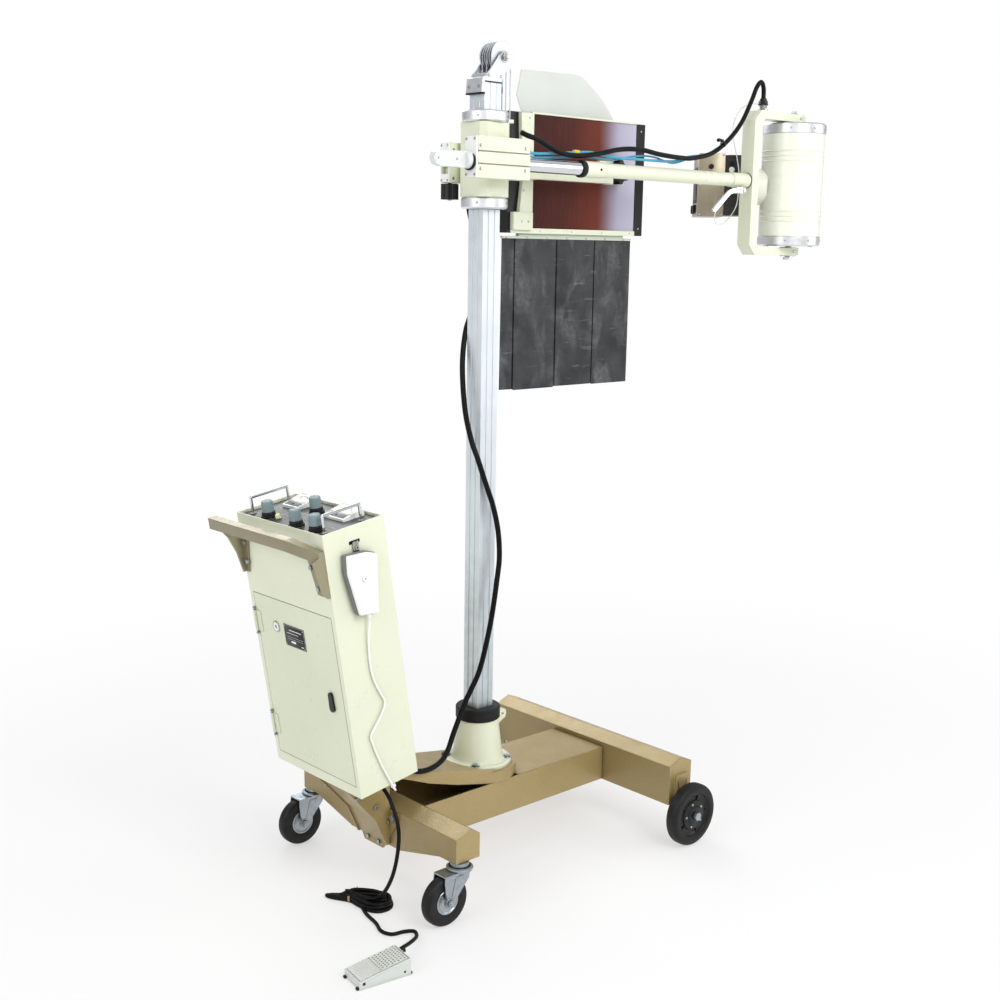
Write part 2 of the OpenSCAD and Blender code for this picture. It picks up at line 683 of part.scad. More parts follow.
// stations x, y, z
module arm_cable() color(black) cable([
  [56, -92, 1858], [92, -92, 1852], [170, -92, 1826], [242, -92, 1822], [315, -92, 1832],
  [390, -92, 1846], [467, -92, 1850], [547, -92, 1842], [630, -92, 1838], [685, -92, 1840],
  [766, -92, 1858], [833, -92, 1896], [888, -92, 1946], [929, -92, 2008], [952, -92, 2050],
  [972, -92, 2066], [983, -92, 2050], [985, -92, 2024]], 6.5, 5, 10);

// ---------- yoke and tube head ----------
yoke_x = 925;
head_x = 1142;
head_z0 = 1609;
head_top = head_z0 + head_h;
// where the caps meet the housing
joint_low = head_z0 + 27;
joint_high = head_top - 28;
port_z = 1780;
pivot_r = 8;

module yoke() color(cream) difference() {
  union() {
    prism_y(arm_y - 22, arm_y + 22, [
      [yoke_x, 1610], [yoke_x, 1958], [yoke_x + 28, 1986], [1166, 1986], [1166, 1964],
      [yoke_x + 46, 1964], [yoke_x + 28, 1946], [yoke_x + 28, 1622], [yoke_x + 46, 1604],
      [1166, 1604], [1166, 1582], [yoke_x + 28, 1582]]);
    cyl_z(head_x, arm_y, 1962, 1988, 24, 64);
    cyl_z(head_x, arm_y, 1580, 1606, 24, 64);
    cyl_x(arm_y, arm_z, 858, yoke_x + 2, swivel_r, 64);
    cyl_x(arm_y, arm_z, 922, yoke_x + 2, 19, 64);
  }
  cyl_z(head_x, arm_y, 1575, 1995, pivot_r + play, 64);
}
module cable_gland() color(steel) translate([985, arm_y, 0]) difference() {
  union() {
    cyl_z(0, 0, 1986, 1992, 15, 6);
    cyl_z(0, 0, 1992, 2004, 11, 48);
    cyl_z(0, 0, 2004, 2014, 13.5, 6);
    cyl_z(0, 0, 2014, 2020, 10, 48);
  }
  cyl_z(0, 0, 1990, 2025, 7, 48);
}
// +X points out of the housing's port
module at_port() translate([head_x, arm_y, 0]) rotate([0, 0, limiter_a]) children();
module tube_housing() color(cream) difference() {
  union() {
    cyl_z(head_x, arm_y, joint_low, joint_high, head_r, 128);
    // beads around the housing
    for (z = [1681, 1695, 1709, 1853, 1867, 1881]) translate([head_x, arm_y, z])
      rotate_extrude($fn = 128) translate([head_r - 0.5, 0]) circle(r = 2.2, $fn = 24);
    at_port() cyl_x(0, port_z, head_r - 12, head_r + 50, 52, 96);
  }
  cyl_z(head_x, arm_y, joint_low - 1, joint_high + 1, head_r - 5, 128);
  at_port() cyl_x(0, port_z, head_r - 30, head_r + 60, 40, 96);
}
// bevel is the signed rise from the cap's end face to its full radius
module end_cap(joint, face, bevel) rotate_extrude($fn = 128) polygon([
  [0, joint], [head_r + 2, joint], [head_r + 2, face + bevel], [head_r - 2, face], [0, face]]);
module end_caps() color(aluminium) translate([head_x, arm_y, 0]) {
  end_cap(joint_low, head_z0, 4);
  end_cap(joint_high, head_top, -4);
  // pivots through the yoke
  cyl_z(0, 0, head_top, 1992, pivot_r, 64);
  cyl_z(0, 0, 1989, 1997, 13, 6);
  cyl_z(0, 0, 1574, head_z0, pivot_r, 64);
  cyl_z(0, 0, 1569, 1577, 13, 6);
}
module xray_insert() color(glass) translate([head_x, arm_y, 0]) {
  cyl_z(0, 0, 1660, 1900, 28, 64);
  cyl_z(0, 0, joint_low, 1660, 12, 48);
  cyl_z(0, 0, 1900, joint_high, 16, 48);
}
module beam_limiter() color(limiter_brown) at_port() difference() {
  union() {
    box(140, 206, -70, 70, 1694, 1867);
    box(206, 284, -75, 75, 1690, 1871);
  }
  box(139, 285, -40, 40, port_z - 40, port_z + 40);
}

// ---------- fluoroscopy screen ----------
screen_x0 = 238;
screen_x1 = screen_x0 + screen_w;
screen_y0 = 112;
screen_y1 = 128;
screen_z0 = 1643;
screen_knob_x = 562;
screen_knob_z = 1801;

module screen_bar() color(cream) difference() {
  bar_bottom = bar_z - bar_half_z;
  bar_top = bar_z + bar_half_z;
  union() {
    bar_section(-60, 524, 0);
    box(500, 524, bar_y, 96, bar_bottom, bar_top);
    box(500, 598, 84, 96, bar_bottom, 1830);
    box(546, 578, 96, 112, bar_bottom, 1830);
    // tapered stile and foot block on the column side of the panel
    prism_y(100, screen_y0, [[216, 1938], [262, 1938], [262, 1640], [214, 1682], [224, 1760]]);
    box(192, 262, 98, screen_y0, 1638, 1684);
    box(240, 262, bar_y, 100, bar_bottom, bar_top);
    // bottom and top edge strips
    box(192, 676, 108, screen_y0, 1629, 1643);
    box(262, 676, 108, screen_y0, 1938, 1943);
  }
  cyl_y(screen_knob_x, screen_knob_z, 80, 112, 5 + play, 32);
}
module screen_rails() color(black) {
  box(screen_x1, 710, 110, 140, 1630, 1940);
  box(180, screen_x0, screen_y0, 140, 1630, 1940);
  box(screen_x0, screen_x1, 132, 140, 1640, 1660);
}
module screen_panel() color(screen_brown)
  box(screen_x0, screen_x1, screen_y0, screen_y1, screen_z0, screen_z0 + screen_h);
module chin_plate() color(clear_sheet) prism_y(128.3, 131.3, [
  [240, 2049], [455, 2054], [479, 2043], [555, 1992], [596, 1946], [600, 1900],
  [242, 1900], [242, 1944], [224, 1983]]);
module lead_apron() color(rubber_grey) {
  apron_top = 1621;
  box(172, 676, 119, 131, apron_top - apron_l, apron_top);
  box(230, 640, 121, 129, apron_top, 1629.5);
}
module screen_knob() color(black) {
  cyl_y(screen_knob_x, screen_knob_z, 76, 110, 5, 32);
  difference() {
    cyl_y(screen_knob_x, screen_knob_z, 60, 83.5, 33, 64);
    for (a = [0:60:300])
      cyl_y(screen_knob_x + 40 * cos(a), screen_knob_z + 40 * sin(a), 55, 90, 14, 32);
  }
}

// ---------- wheels ----------
// s is the side: 1 for +Y, -1 for -Y. Wheel outlines are radius, axial offset.
half_caster = caster_w / 2;
half_wheel = rear_w / 2;
caster_axle_r = 5;

module at_caster(s) translate([stem_x, s * stem_y, 0]) children();
module caster_fork(s) color(steel) at_caster(s) difference() {
  union() {
    cyl_z(0, 0, 131, 138.8, 27);
    cyl_z(0, 0, 127.5, 131.5, 30);
    box(-62, 12, -(half_caster + 6), half_caster + 6, 127.5, 131.5);
    for (q = [-1, 1]) {
      prism_y(q * (half_caster + 3), q * (half_caster + 6), [
        [14, 131], [-62, 131], [-64, 116], [-56, caster_r - 10], [-trail, caster_r - 14],
        [-40, caster_r - 10], [12, 112]]);
      // head or nut of the axle bolt
      cyl_y(-trail, caster_r, q * (half_caster + 6), q * (half_caster + 12), 9, 6);
    }
    cyl_y(-trail, caster_r, -half_caster - 11, half_caster + 11, caster_axle_r, 32);
  }
  cyl_z(0, 0, 100, 140, stem_r + play, 64);
  cyl_z(0, 0, 120, 131.3, 13, 48);
}
module caster_wheel(s) color(black) at_caster(s) difference() {
  hub = half_caster + 2.5;
  translate([-trail, 0, caster_r]) rotate([90, 0, 0]) rotate_extrude($fn = 96) polygon([
    [0, -hub], [12, -hub], [12, -12], [33, -10], [37, -half_caster], [52, -half_caster],
    [59, -13], [caster_r, -7], [caster_r, 7], [59, 13],
    [52, half_caster], [37, half_caster], [33, 10], [12, 12], [12, hub], [0, hub]]);
  cyl_y(-trail, caster_r, -30, 30, caster_axle_r + play, 32);
}
module rear_wheel(s) color(black) difference() {
  translate([axle_x, s * axle_y, axle_z]) rotate([-90 * s, 0, 0])
    rotate_extrude($fn = 128) polygon([
      [0, -half_wheel], [24, -half_wheel], [24, -14], [60, -14], [62, -half_wheel],
      [78, -half_wheel], [rear_r - 2, -12], [rear_r, -6], [rear_r, 6], [rear_r - 2, 12],
      [78, half_wheel], [62, half_wheel], [58, 12], [46, 10], [40, 14], [26, 14],
      [24, half_wheel], [0, half_wheel]]);
  cyl_y(axle_x, axle_z, -500, 500, axle_r + play, 64);
}

placed() main_beam();
placed() rear_crossbeam();
placed() front_crossbeam();
placed() cabinet_bracket();
placed() base_bolts();
placed() wheel_studs();
placed() column_seat();
placed() cabinet_shell();
placed() control_panel();
placed() panel_handles();
placed() panel_meters();
placed() push_handle();
placed() transformer();
placed() foot_switch_base();
placed() base_cables();
placed() column_post();
placed() column_collar();
placed() pulley_bracket();
placed() hoist_ropes();
placed() rope_pulley();
placed() counterweight();
placed() carriage_sleeve();
placed() carriage_rings();
placed() arm_block();
placed() screen_block();
placed() block_end_plates();
placed() column_cable();
placed() screen_clamp_knob();
placed() arm_rod();
placed() arm_handle();
placed() arm_tube();
placed() arm_cable();
placed() clamp_lever();
placed() yoke();
placed() cable_gland();
placed() tube_housing();
placed() end_caps();
placed() xray_insert();
placed() beam_limiter();
placed() screen_bar();
placed() screen_rails();
placed() screen_panel();
placed() chin_plate();
placed() lead_apron();
placed() screen_knob();
placed() caster_fork(1);  // caster_fork_left
placed() caster_fork(-1);  // caster_fork_right
placed() caster_wheel(1);  // caster_wheel_left
placed() caster_wheel(-1);  // caster_wheel_right
placed() rear_wheel(1);  // rear_wheel_left
placed() rear_wheel(-1);  // rear_wheel_right
placed() cabinet_door();
placed() door_latch();
placed() knob(0);  // knob_1
placed() knob(1);  // knob_2
placed() knob(2);  // knob_3
placed() knob(3);  // knob_4
placed() foot_pedal();
placed() handset();
placed() exposure_button();
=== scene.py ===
# Mobile X-ray unit on a wheeled base. The column stands on the drawing frame's origin,
# the control cabinet and casters lie towards -X, and the arm carries the tube head towards +X.
# The drawing frame is in millimetres about the column's axis, with z up from the floor.
import bpy
import bmesh
from functools import reduce
from math import atan2, cos, pi, radians, sin
from mathutils import Matrix, Vector, noise

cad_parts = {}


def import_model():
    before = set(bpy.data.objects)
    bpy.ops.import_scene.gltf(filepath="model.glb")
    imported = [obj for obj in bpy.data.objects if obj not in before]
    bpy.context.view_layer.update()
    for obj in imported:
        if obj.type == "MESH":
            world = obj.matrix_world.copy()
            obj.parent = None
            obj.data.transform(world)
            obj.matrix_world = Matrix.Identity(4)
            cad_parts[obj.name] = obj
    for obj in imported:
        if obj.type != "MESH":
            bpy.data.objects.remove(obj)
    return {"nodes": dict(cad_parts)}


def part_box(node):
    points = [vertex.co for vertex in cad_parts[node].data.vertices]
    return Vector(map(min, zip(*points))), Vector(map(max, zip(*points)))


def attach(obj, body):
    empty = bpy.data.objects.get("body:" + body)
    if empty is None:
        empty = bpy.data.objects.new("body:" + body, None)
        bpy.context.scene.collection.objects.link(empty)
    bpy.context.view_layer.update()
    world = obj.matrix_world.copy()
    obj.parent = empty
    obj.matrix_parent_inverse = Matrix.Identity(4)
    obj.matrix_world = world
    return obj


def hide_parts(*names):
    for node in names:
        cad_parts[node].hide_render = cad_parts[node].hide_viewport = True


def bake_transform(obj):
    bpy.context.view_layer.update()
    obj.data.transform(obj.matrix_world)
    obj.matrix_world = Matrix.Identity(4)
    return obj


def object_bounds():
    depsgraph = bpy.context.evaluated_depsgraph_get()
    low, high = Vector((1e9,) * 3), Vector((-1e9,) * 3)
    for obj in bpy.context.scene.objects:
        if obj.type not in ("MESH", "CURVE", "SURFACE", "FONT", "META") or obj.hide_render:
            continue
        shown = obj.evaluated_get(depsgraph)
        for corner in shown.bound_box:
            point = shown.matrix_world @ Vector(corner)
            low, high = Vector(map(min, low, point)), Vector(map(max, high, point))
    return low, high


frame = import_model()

nodes = frame["nodes"]
for stray in ("Cube", "Light", "Camera"):
    if stray in bpy.data.objects and stray not in nodes:
        bpy.data.objects.remove(bpy.data.objects[stray])
CAD_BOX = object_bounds()
scene = bpy.context.scene


# ---------------------------------------------------------------- frames
def move(x, y, z):
    return Matrix.Translation((x, y, z))


def rot(angle, axis="Z"):
    return Matrix.Rotation(angle, 4, axis)


def polar(radius, angle, x=0, y=0):
    return x + radius * cos(angle), y + radius * sin(angle)


MILLI = 0.001                           # metres per drawing unit
post_low, post_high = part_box("column_post")
ORIGIN = Vector(((post_low.x + post_high.x) / 2, (post_low.y + post_high.y) / 2, 0.0))
IDENTITY = Matrix.Identity(4)

HEAD_X = 1142.0                         # upright axis of the tube head
ARM_Y, ARM_Z = -92.0, 1790.0            # axis of the arm, which runs along X
PULLEY_X, PULLEY_Z, ROPE_TURN = 35.0, 2046.0, 32    # pulley axis, radius of the rope's turn
CABINET = move(-517.3, 0, 317.2) @ rot(radians(-9.2), "Y")
PORT = move(HEAD_X, ARM_Y, 0) @ rot(radians(135))   # local +X leaves the head's beam port
FOOT_SWITCH = move(-628, -388, 0) @ rot(radians(-9))
ARM_AXIS = move(0, ARM_Y, ARM_Z) @ rot(radians(90), "Y")    # local Z runs along the arm


def world(point):
    """Drawing point in metres in the scene."""
    return tuple(value * MILLI + start for value, start in zip(point, ORIGIN))


def frame_at(pos, normal):
    """Matrix at pos whose +Z is normal."""
    z_axis = Vector(normal).normalized()
    guide = Vector((0, 0, 1))
    if abs(z_axis.dot(guide)) > 0.95:
        guide = Vector((1, 0, 0))
    x_axis = guide.cross(z_axis).normalized()
    matrix = Matrix((x_axis, z_axis.cross(x_axis), z_axis)).transposed().to_4x4()
    matrix.translation = Vector(pos)
    return matrix


def along_y(x, y, z, side=1):
    """Matrix whose +Z points to +Y, or to -Y for side -1."""
    return move(x, y, z) @ rot(radians(-90 * side), "X")


def mirrored(half):
    """Profile of (radius, z) points completed by its mirror image in z; z = 0 isn't doubled."""
    return half + [(r, -z) for r, z in reversed(half) if z]


def smooth(points, step, cyclic=False):
    """Catmull-Rom curve through points, sampled about every step mm."""
    points = [Vector(point) for point in points]
    count = len(points)
    samples = []
    for i in range(count if cyclic else count - 1):
        if cyclic:
            around = [points[(i + k) % count] for k in (-1, 0, 1, 2)]
        else:
            around = [points[min(max(i + k, 0), count - 1)] for k in (-1, 0, 1, 2)]
        before, start, end, after = around
        pieces = max(2, int((end - start).length / step))
        for j in range(pieces):
            t = j / pieces
            samples.append(0.5 * ((2 * start) + (end - before) * t
                                  + (2 * before - 5 * start + 4 * end - after) * t * t
                                  + (3 * start - before - 3 * end + after) * t ** 3))
    if not cyclic:
        samples.append(points[-1])
    return samples


# ---------------------------------------------------------------- meshes
def round_edges(mesh, width, segments):
    if width > 0:
        bmesh.ops.bevel(mesh, geom=list(mesh.edges), offset=width, segments=segments,
                        profile=0.5, affect="EDGES", clamp_overlap=True)


class Piece:
    """One object, built from parts in drawing millimetres; mat is a material slot index."""

    def __init__(self, name, *materials):
        self.name = name
        self.materials = materials
        self.mesh = bmesh.new()

    def add(self, part, at=IDENTITY, mat=0):
        bmesh.ops.transform(part, matrix=at, verts=part.verts)
        bmesh.ops.recalc_face_normals(part, faces=part.faces)
        for face in part.faces:
            face.material_index = mat
        data = bpy.data.meshes.new("tmp")
        part.to_mesh(data)
        part.free()
        self.mesh.from_mesh(data)
        bpy.data.meshes.remove(data)

    def box(self, x0, x1, y0, y1, z0, z1, bevel=0.0, at=IDENTITY, mat=0):
        part = bmesh.new()
        bmesh.ops.create_cube(part, size=1.0)
        for vert in part.verts:
            x, y, z = vert.co
            vert.co = Vector((x0 + (x + 0.5) * (x1 - x0), y0 + (y + 0.5) * (y1 - y0),
                              z0 + (z + 0.5) * (z1 - z0)))
        round_edges(part, bevel, 2)
        self.add(part, at, mat)

    def boxes(self, rows, **options):
        for row in rows:
            self.box(*row, **options)

    def prism(self, outline, y0, y1, bevel, at=IDENTITY, mat=0, segments=2):
        """Outline of (x, z) points pushed from y0 to y1."""
        part = bmesh.new()
        near = [part.verts.new((x, y0, z)) for x, z in outline]
        far = [part.verts.new((x, y1, z)) for x, z in outline]
        part.faces.new(near)
        part.faces.new(list(reversed(far)))
        count = len(outline)
        for i in range(count):
            j = (i + 1) % count
            part.faces.new((near[i], far[i], far[j], near[j]))
        bmesh.ops.recalc_face_normals(part, faces=part.faces)
        round_edges(part, bevel, segments)
        self.add(part, at, mat)

    def lathe(self, profile, at=IDENTITY, segments=48, mat=0, reshape=None):
        """Closed surface about local Z from (radius, z) points.

        A profile that keeps off the axis is closed on itself as a ring;
        reshape(radius, z, angle) gives the radius of a surface that isn't round.
        """
        part = bmesh.new()
        rings = []
        for radius, z in profile:
            if radius < 1e-6:
                rings.append([part.verts.new((0, 0, z))])
                continue
            ring = []
            for k in range(segments):
                angle = 2 * pi * k / segments
                bent = reshape(radius, z, angle) if reshape else radius
                ring.append(part.verts.new((*polar(bent, angle), z)))
            rings.append(ring)
        pairs = list(zip(rings, rings[1:]))
        if len(rings[0]) > 1 and len(rings[-1]) > 1:
            pairs.append((rings[-1], rings[0]))
        for one, two in pairs:
            for k in range(segments):
                j = (k + 1) % segments
                if len(one) == 1:
                    part.faces.new((one[0], two[k], two[j]))
                elif len(two) == 1:
                    part.faces.new((one[k], two[0], one[j]))
                else:
                    part.faces.new((one[k], two[k], two[j], one[j]))
        self.add(part, at, mat)

    def boss(self, pos, normal, profile, segments=32, mat=0, at=IDENTITY, reshape=None):
        """Turned solid that starts at pos and stands along normal."""
        self.lathe([(0, 0)] + profile, at @ frame_at(pos, normal), segments, mat, reshape)

    def tube(self, points, radius, segments, step, mat=0, wobble=0.0, cyclic=False):
        """Round cable along a smooth curve, with domed ends unless cyclic."""
        path = smooth(points, step, cyclic)
        count = len(path)
        part = bmesh.new()
        tangents = []
        for i in range(count):
            if cyclic:
                along = path[(i + 1) % count] - path[i - 1]
            else:
                along = path[min(i + 1, count - 1)] - path[max(i - 1, 0)]
            tangents.append(along.normalized())
        across = Vector((0.31, 0.77, 0.55))
        rings = []
        for i, centre in enumerate(path):
            across = (across - tangents[i] * across.dot(tangents[i])).normalized()
            third = tangents[i].cross(across)
            ring = []
            for k in range(segments):
                angle = 2 * pi * k / segments
                reach = radius * (1.0 + wobble * noise.noise(Vector((i * 0.35, k * 0.9, 3.1))))
                ring.append(part.verts.new(centre + across * (reach * cos(angle))
                                           + third * (reach * sin(angle))))
            rings.append(ring)
        for i in range(count if cyclic else count - 1):
            one, two = rings[i], rings[(i + 1) % count]
            for k in range(segments):
                j = (k + 1) % segments
                part.faces.new((one[k], one[j], two[j], two[k]))
        if not cyclic:
            for end, sign in ((0, -1), (-1, 1)):
                ring, centre, along = rings[end], path[end], tangents[end]
                inner = [part.verts.new(centre + along * (sign * radius * 0.32)
                                        + (vert.co - centre) * 0.72) for vert in ring]
                tip = part.verts.new(centre + along * (sign * radius * 0.45))
                for k in range(segments):
                    j = (k + 1) % segments
                    part.faces.new((ring[k], ring[j], inner[j], inner[k]))
                    part.faces.new((inner[k], inner[j], tip))
        self.add(part, mat=mat)

    def screw(self, pos, normal, radius, height, mat=0, at=IDENTITY, kind="pan"):
        """Screw head: pan, socket or hexhead."""
        at = at @ frame_at(pos, normal) @ rot(0.4)
        if kind == "hexhead":
            self.lathe([(0, -0.6), (radius, -0.6), (radius, height * 0.8),
                        (radius * 0.86, height), (0, height)], at, 6, mat)
            self.lathe([(0, height - 0.2), (radius * 0.62, height - 0.2),
                        (radius * 0.5, height + 0.35), (0, height + 0.4)], at, 24, mat)
            return
        recess = radius * 0.42
        profile = [(0, -0.6), (radius, -0.6), (radius, height * 0.35),
                   (radius * 0.93, height * 0.72), (radius * 0.72, height * 0.95),
                   (recess, height)]
        if kind == "socket":
            profile += [(recess, height * 0.35), (0, height * 0.35)]
        else:
            profile += [(0, height)]
        self.lathe(profile, at, 24, mat)

    def screws(self, points, *head, **options):
        for point in points:
            self.screw(point, *head, **options)

    def done(self, slot, ride=None, blend=None, replaces=None, smooth_deg=32):
        """Make the object; blend is (body, body, start point, end point)."""
        data = bpy.data.meshes.new(self.name)
        self.mesh.transform(Matrix.Translation(ORIGIN) @ Matrix.Scale(MILLI, 4))
        self.mesh.to_mesh(data)
        self.mesh.free()
        for name in self.materials:
            data.materials.append(MATERIALS[name])
        data.polygons.foreach_set("use_smooth", [True] * len(data.polygons))
        data.set_sharp_from_angle(angle=radians(smooth_deg))
        made = bpy.data.objects.new(self.name, data)
        scene.collection.objects.link(made)
        if ride:
            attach(made, ride)
        if replaces:
            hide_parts(replaces)
        if blend:
            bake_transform(made)


def cable(name, material, path, radius, segments, step, slot="black_rubber", **joining):
    piece = Piece(name, material)
    piece.tube(path, radius, segments, step)
    piece.done(slot, **joining)


# ---------------------------------------------------------------- shader tools
MATERIALS = {}


def linear(rgb):
    return tuple(v / 12.92 if v <= 0.04045 else ((v + 0.055) / 1.055) ** 2.4
                 for v in rgb) + (1.0,)


def hex_color(text):
    return linear([int(text[i:i + 2], 16) / 255 for i in (1, 3, 5)])


def gain(color, factor):
    return tuple(min(1.0, v * factor) for v in color[:3]) + (1.0,)


def plug(tree, socket, value):
    if isinstance(value, bpy.types.NodeSocket):
        tree.links.new(value, socket)
    else:
        socket.default_value = value


def add_node(tree, kind, inputs=None, **settings):
    made = tree.nodes.new(kind)
    for name, value in settings.items():
        setattr(made, name, value)
    for name, value in (inputs or {}).items():
        plug(tree, made.inputs[name], value)
    return made


class Shader:
    """A material whose base colour and normal are built up step by step.

    Noise is given as (scale, detail, roughness). A span of input values is
    mapped onto the range to. A tint's masks are multiplied together.
    """

    def __init__(self, name):
        material = bpy.data.materials.new(name)
        MATERIALS[name] = material
        material.use_nodes = True
        self.tree = material.node_tree
        self.tree.nodes.clear()
        self.bsdf = self.node("BsdfPrincipled")
        self.output = self.node("OutputMaterial", {0: self.bsdf.outputs[0]})
        self.place = self.node("TexCoord").outputs["Object"]
        self.normal = None

    def node(self, kind, inputs=None, **settings):
        return add_node(self.tree, "ShaderNode" + kind, inputs, **settings)

    def math(self, operation, first, second):
        return self.node("Math", {0: first, 1: second}, operation=operation).outputs[0]

    def times(self, *factors):
        return reduce(lambda one, two: self.math("MULTIPLY", one, two), factors)

    def mix(self, mask, first, second):
        first, second = (hex_color(v) if isinstance(v, str) else v for v in (first, second))
        return self.node("Mix", {0: mask, 6: first, 7: second}, data_type="RGBA").outputs[2]

    def base(self, first, second, mask):
        self.color = self.mix(mask, first, second)

    def tint(self, color, *masks):
        self.color = self.mix(self.times(*masks), self.color, color)

    def noise(self, scale, detail, rough, stretch=None, lean=0.0, distort=0.0, output=0):
        """Noise texture; stretch scales its axes and lean turns it about Y."""
        vector = self.place
        if stretch:
            vector = self.node("Mapping", {"Vector": vector, "Scale": stretch,
                                           "Rotation": (0, lean, 0)}).outputs[0]
        return self.node("TexNoise", {"Vector": vector, "Scale": scale, "Detail": detail,
                                      "Roughness": rough, "Distortion": distort}).outputs[output]

    def remap(self, value, span, to=(0.0, 1.0), interp="LINEAR"):
        return self.node("MapRange", {"Value": value, "From Min": span[0], "From Max": span[1],
                                      "To Min": to[0], "To Max": to[1]},
                         interpolation_type=interp).outputs[0]

    def clouds(self, noise, span=(0.3, 0.7), to=(0.0, 1.0), interp="LINEAR", **warp):
        return self.remap(self.noise(*noise, **warp), span, to, interp)

    def xyz(self, vector):
        return self.node("SeparateXYZ", {0: vector}).outputs

    def surface_normal(self):
        return self.node("NewGeometry").outputs["Normal"]

    def round(self, radius):
        """Start the normal from edges rounded by radius."""
        self.normal = self.node("Bevel", {"Radius": radius}, samples=4).outputs[0]
        self.rounded = self.normal

    def edges(self):
        """Mask of the rounded edges, where wear and painted edge highlights go."""
        dot = self.node("VectorMath", {0: self.rounded, 1: self.surface_normal()},
                        operation="DOT_PRODUCT")
        return self.remap(dot.outputs["Value"], span=(0.995, 0.90))

    def corners(self, distance):
        """Mask of the inner corners, from ambient occlusion, where painted shade goes."""
        occlusion = self.node("AmbientOcclusion", {"Distance": distance},
                              samples=4, only_local=False)
        return self.remap(occlusion.outputs["AO"], span=(0.35, 0.95), to=(1.0, 0.0))

    def bump(self, height, strength, distance):
        if isinstance(height, tuple):
            height = self.noise(*height)
        inputs = {"Height": height, "Strength": strength, "Distance": distance}
        if self.normal is not None:
            inputs["Normal"] = self.normal
        self.normal = self.node("Bump", inputs).outputs[0]

    def surface(self, **values):
        values["Base_Color"] = self.color
        if self.normal is not None:
            values["Normal"] = self.normal
        for name, value in values.items():
            plug(self.tree, self.bsdf.inputs[name.replace("_", " ")], value)


# ---------------------------------------------------------------- kinds of material
def enamel(name, paint, corner_dirt_and_shade=(0.45, 0.40, 0.22), rough=0.30, peel=0.10, var=0.05,
           bevel=0.0014, shade=None, scuff=0.12):
    """Gloss paint with orange peel, sparse scuffs, worn edges that also carry a painted highlight,
    and dirt in corners that is also painted shade.
    """
    mat, paint = Shader(name), hex_color(paint)
    mat.round(bevel)
    mat.base(gain(paint, 1 - var), gain(paint, 1 + var * 0.5),
             mat.clouds(noise=(2.6, 3, 0.5), span=(0.32, 0.68)))
    mat.tint(shade or gain(paint, 0.86), mat.clouds(noise=(34, 4, 0.6), span=(0.5, 0.78)), 0.35)
    mat.tint(gain(paint, 0.55), mat.clouds(noise=(120, 5, 0.62), span=(0.66, 0.74),
                                           stretch=(1.0, 1.0, 0.13)), scuff)
    # lighter rounded edges: wear and a painted highlight
    mat.tint(gain(paint, 1.12), mat.edges(), mat.clouds(noise=(90, 3, 0.6), span=(0.42, 0.62)),
             0.25)
    # darker inner corners from ambient occlusion: painted shade in a dirt colour
    mat.tint(linear(corner_dirt_and_shade), mat.corners(0.012),
             mat.clouds(noise=(28, 4, 0.6), span=(0.25, 0.75), to=(0.35, 1.0)), 0.42)
    mat.bump((620, 2, 0.5), strength=peel, distance=0.00025)
    mat.bump((22, 2, 0.5), strength=0.05, distance=0.002)
    mat.surface(Coat_Weight=0.15, Coat_Roughness=0.12,
                Roughness=mat.clouds(noise=(14, 4, 0.6), to=(rough - 0.05, rough + 0.10)))


def hammered(name, paint, cell=260.0, depth=0.5):
    """Hammer-finish paint; cell is the scale of its dimples and depth their strength."""
    mat, paint = Shader(name), hex_color(paint)
    mat.round(0.0016)
    warped = mat.node("VectorMath", {0: mat.noise(60.0, 2.0, 0.5, output=1),
                                     1: (0.006, 0.006, 0.006), 2: mat.place},
                      operation="MULTIPLY_ADD").outputs[0]
    cells = mat.node("TexVoronoi", {"Vector": warped, "Scale": cell, "Smoothness": 0.55},
                     feature="SMOOTH_F1").outputs["Distance"]
    mat.base(gain(paint, 0.93), gain(paint, 1.06), mat.clouds(noise=(3.0, 3, 0.55)))
    mat.tint(gain(paint, 0.72), mat.remap(cells, span=(0.15, 0.75)), 0.30)
    mat.tint(gain(paint, 1.45), mat.clouds(noise=(900, 2, 0.6), span=(0.55, 0.75)), 0.35)
    # lighter rounded edges: wear and a painted highlight
    mat.tint(gain(paint, 1.7), mat.edges(), mat.clouds(noise=(70, 3, 0.6), span=(0.40, 0.62)),
             0.55)
    # darker inner corners from ambient occlusion: painted shade in a dirt colour
    mat.tint(linear((0.20, 0.15, 0.09)), mat.corners(0.02),
             mat.clouds(noise=(30, 4, 0.6), span=(0.2, 0.8), to=(0.3, 1.0)), 0.55)
    # dust and a painted reflection on level tops
    mat.tint(linear((0.74, 0.70, 0.60)),
             mat.remap(mat.xyz(mat.surface_normal())[2], span=(0.75, 1.0)),
             mat.clouds(noise=(11, 5, 0.62), span=(0.42, 0.72), to=(0.0, 0.28)))
    # painted shade: darker on sloping tops and on faces that look to -X
    facing = mat.xyz(mat.surface_normal())
    dark = gain(paint, 0.42)
    mat.tint(dark, mat.remap(facing[2], span=(0.20, 0.45)),
             mat.remap(facing[2], span=(0.84, 0.97), to=(1.0, 0.0)), 0.55)
    mat.tint(dark, mat.remap(facing[0], span=(-0.95, -0.60), to=(1.0, 0.0)), 0.42)
    mat.bump(cells, strength=depth, distance=0.0011)
    mat.surface(Metallic=0.38, Coat_Weight=0.25, Coat_Roughness=0.18,
                Roughness=mat.clouds(noise=(18, 4, 0.6), to=(0.31, 0.48)))


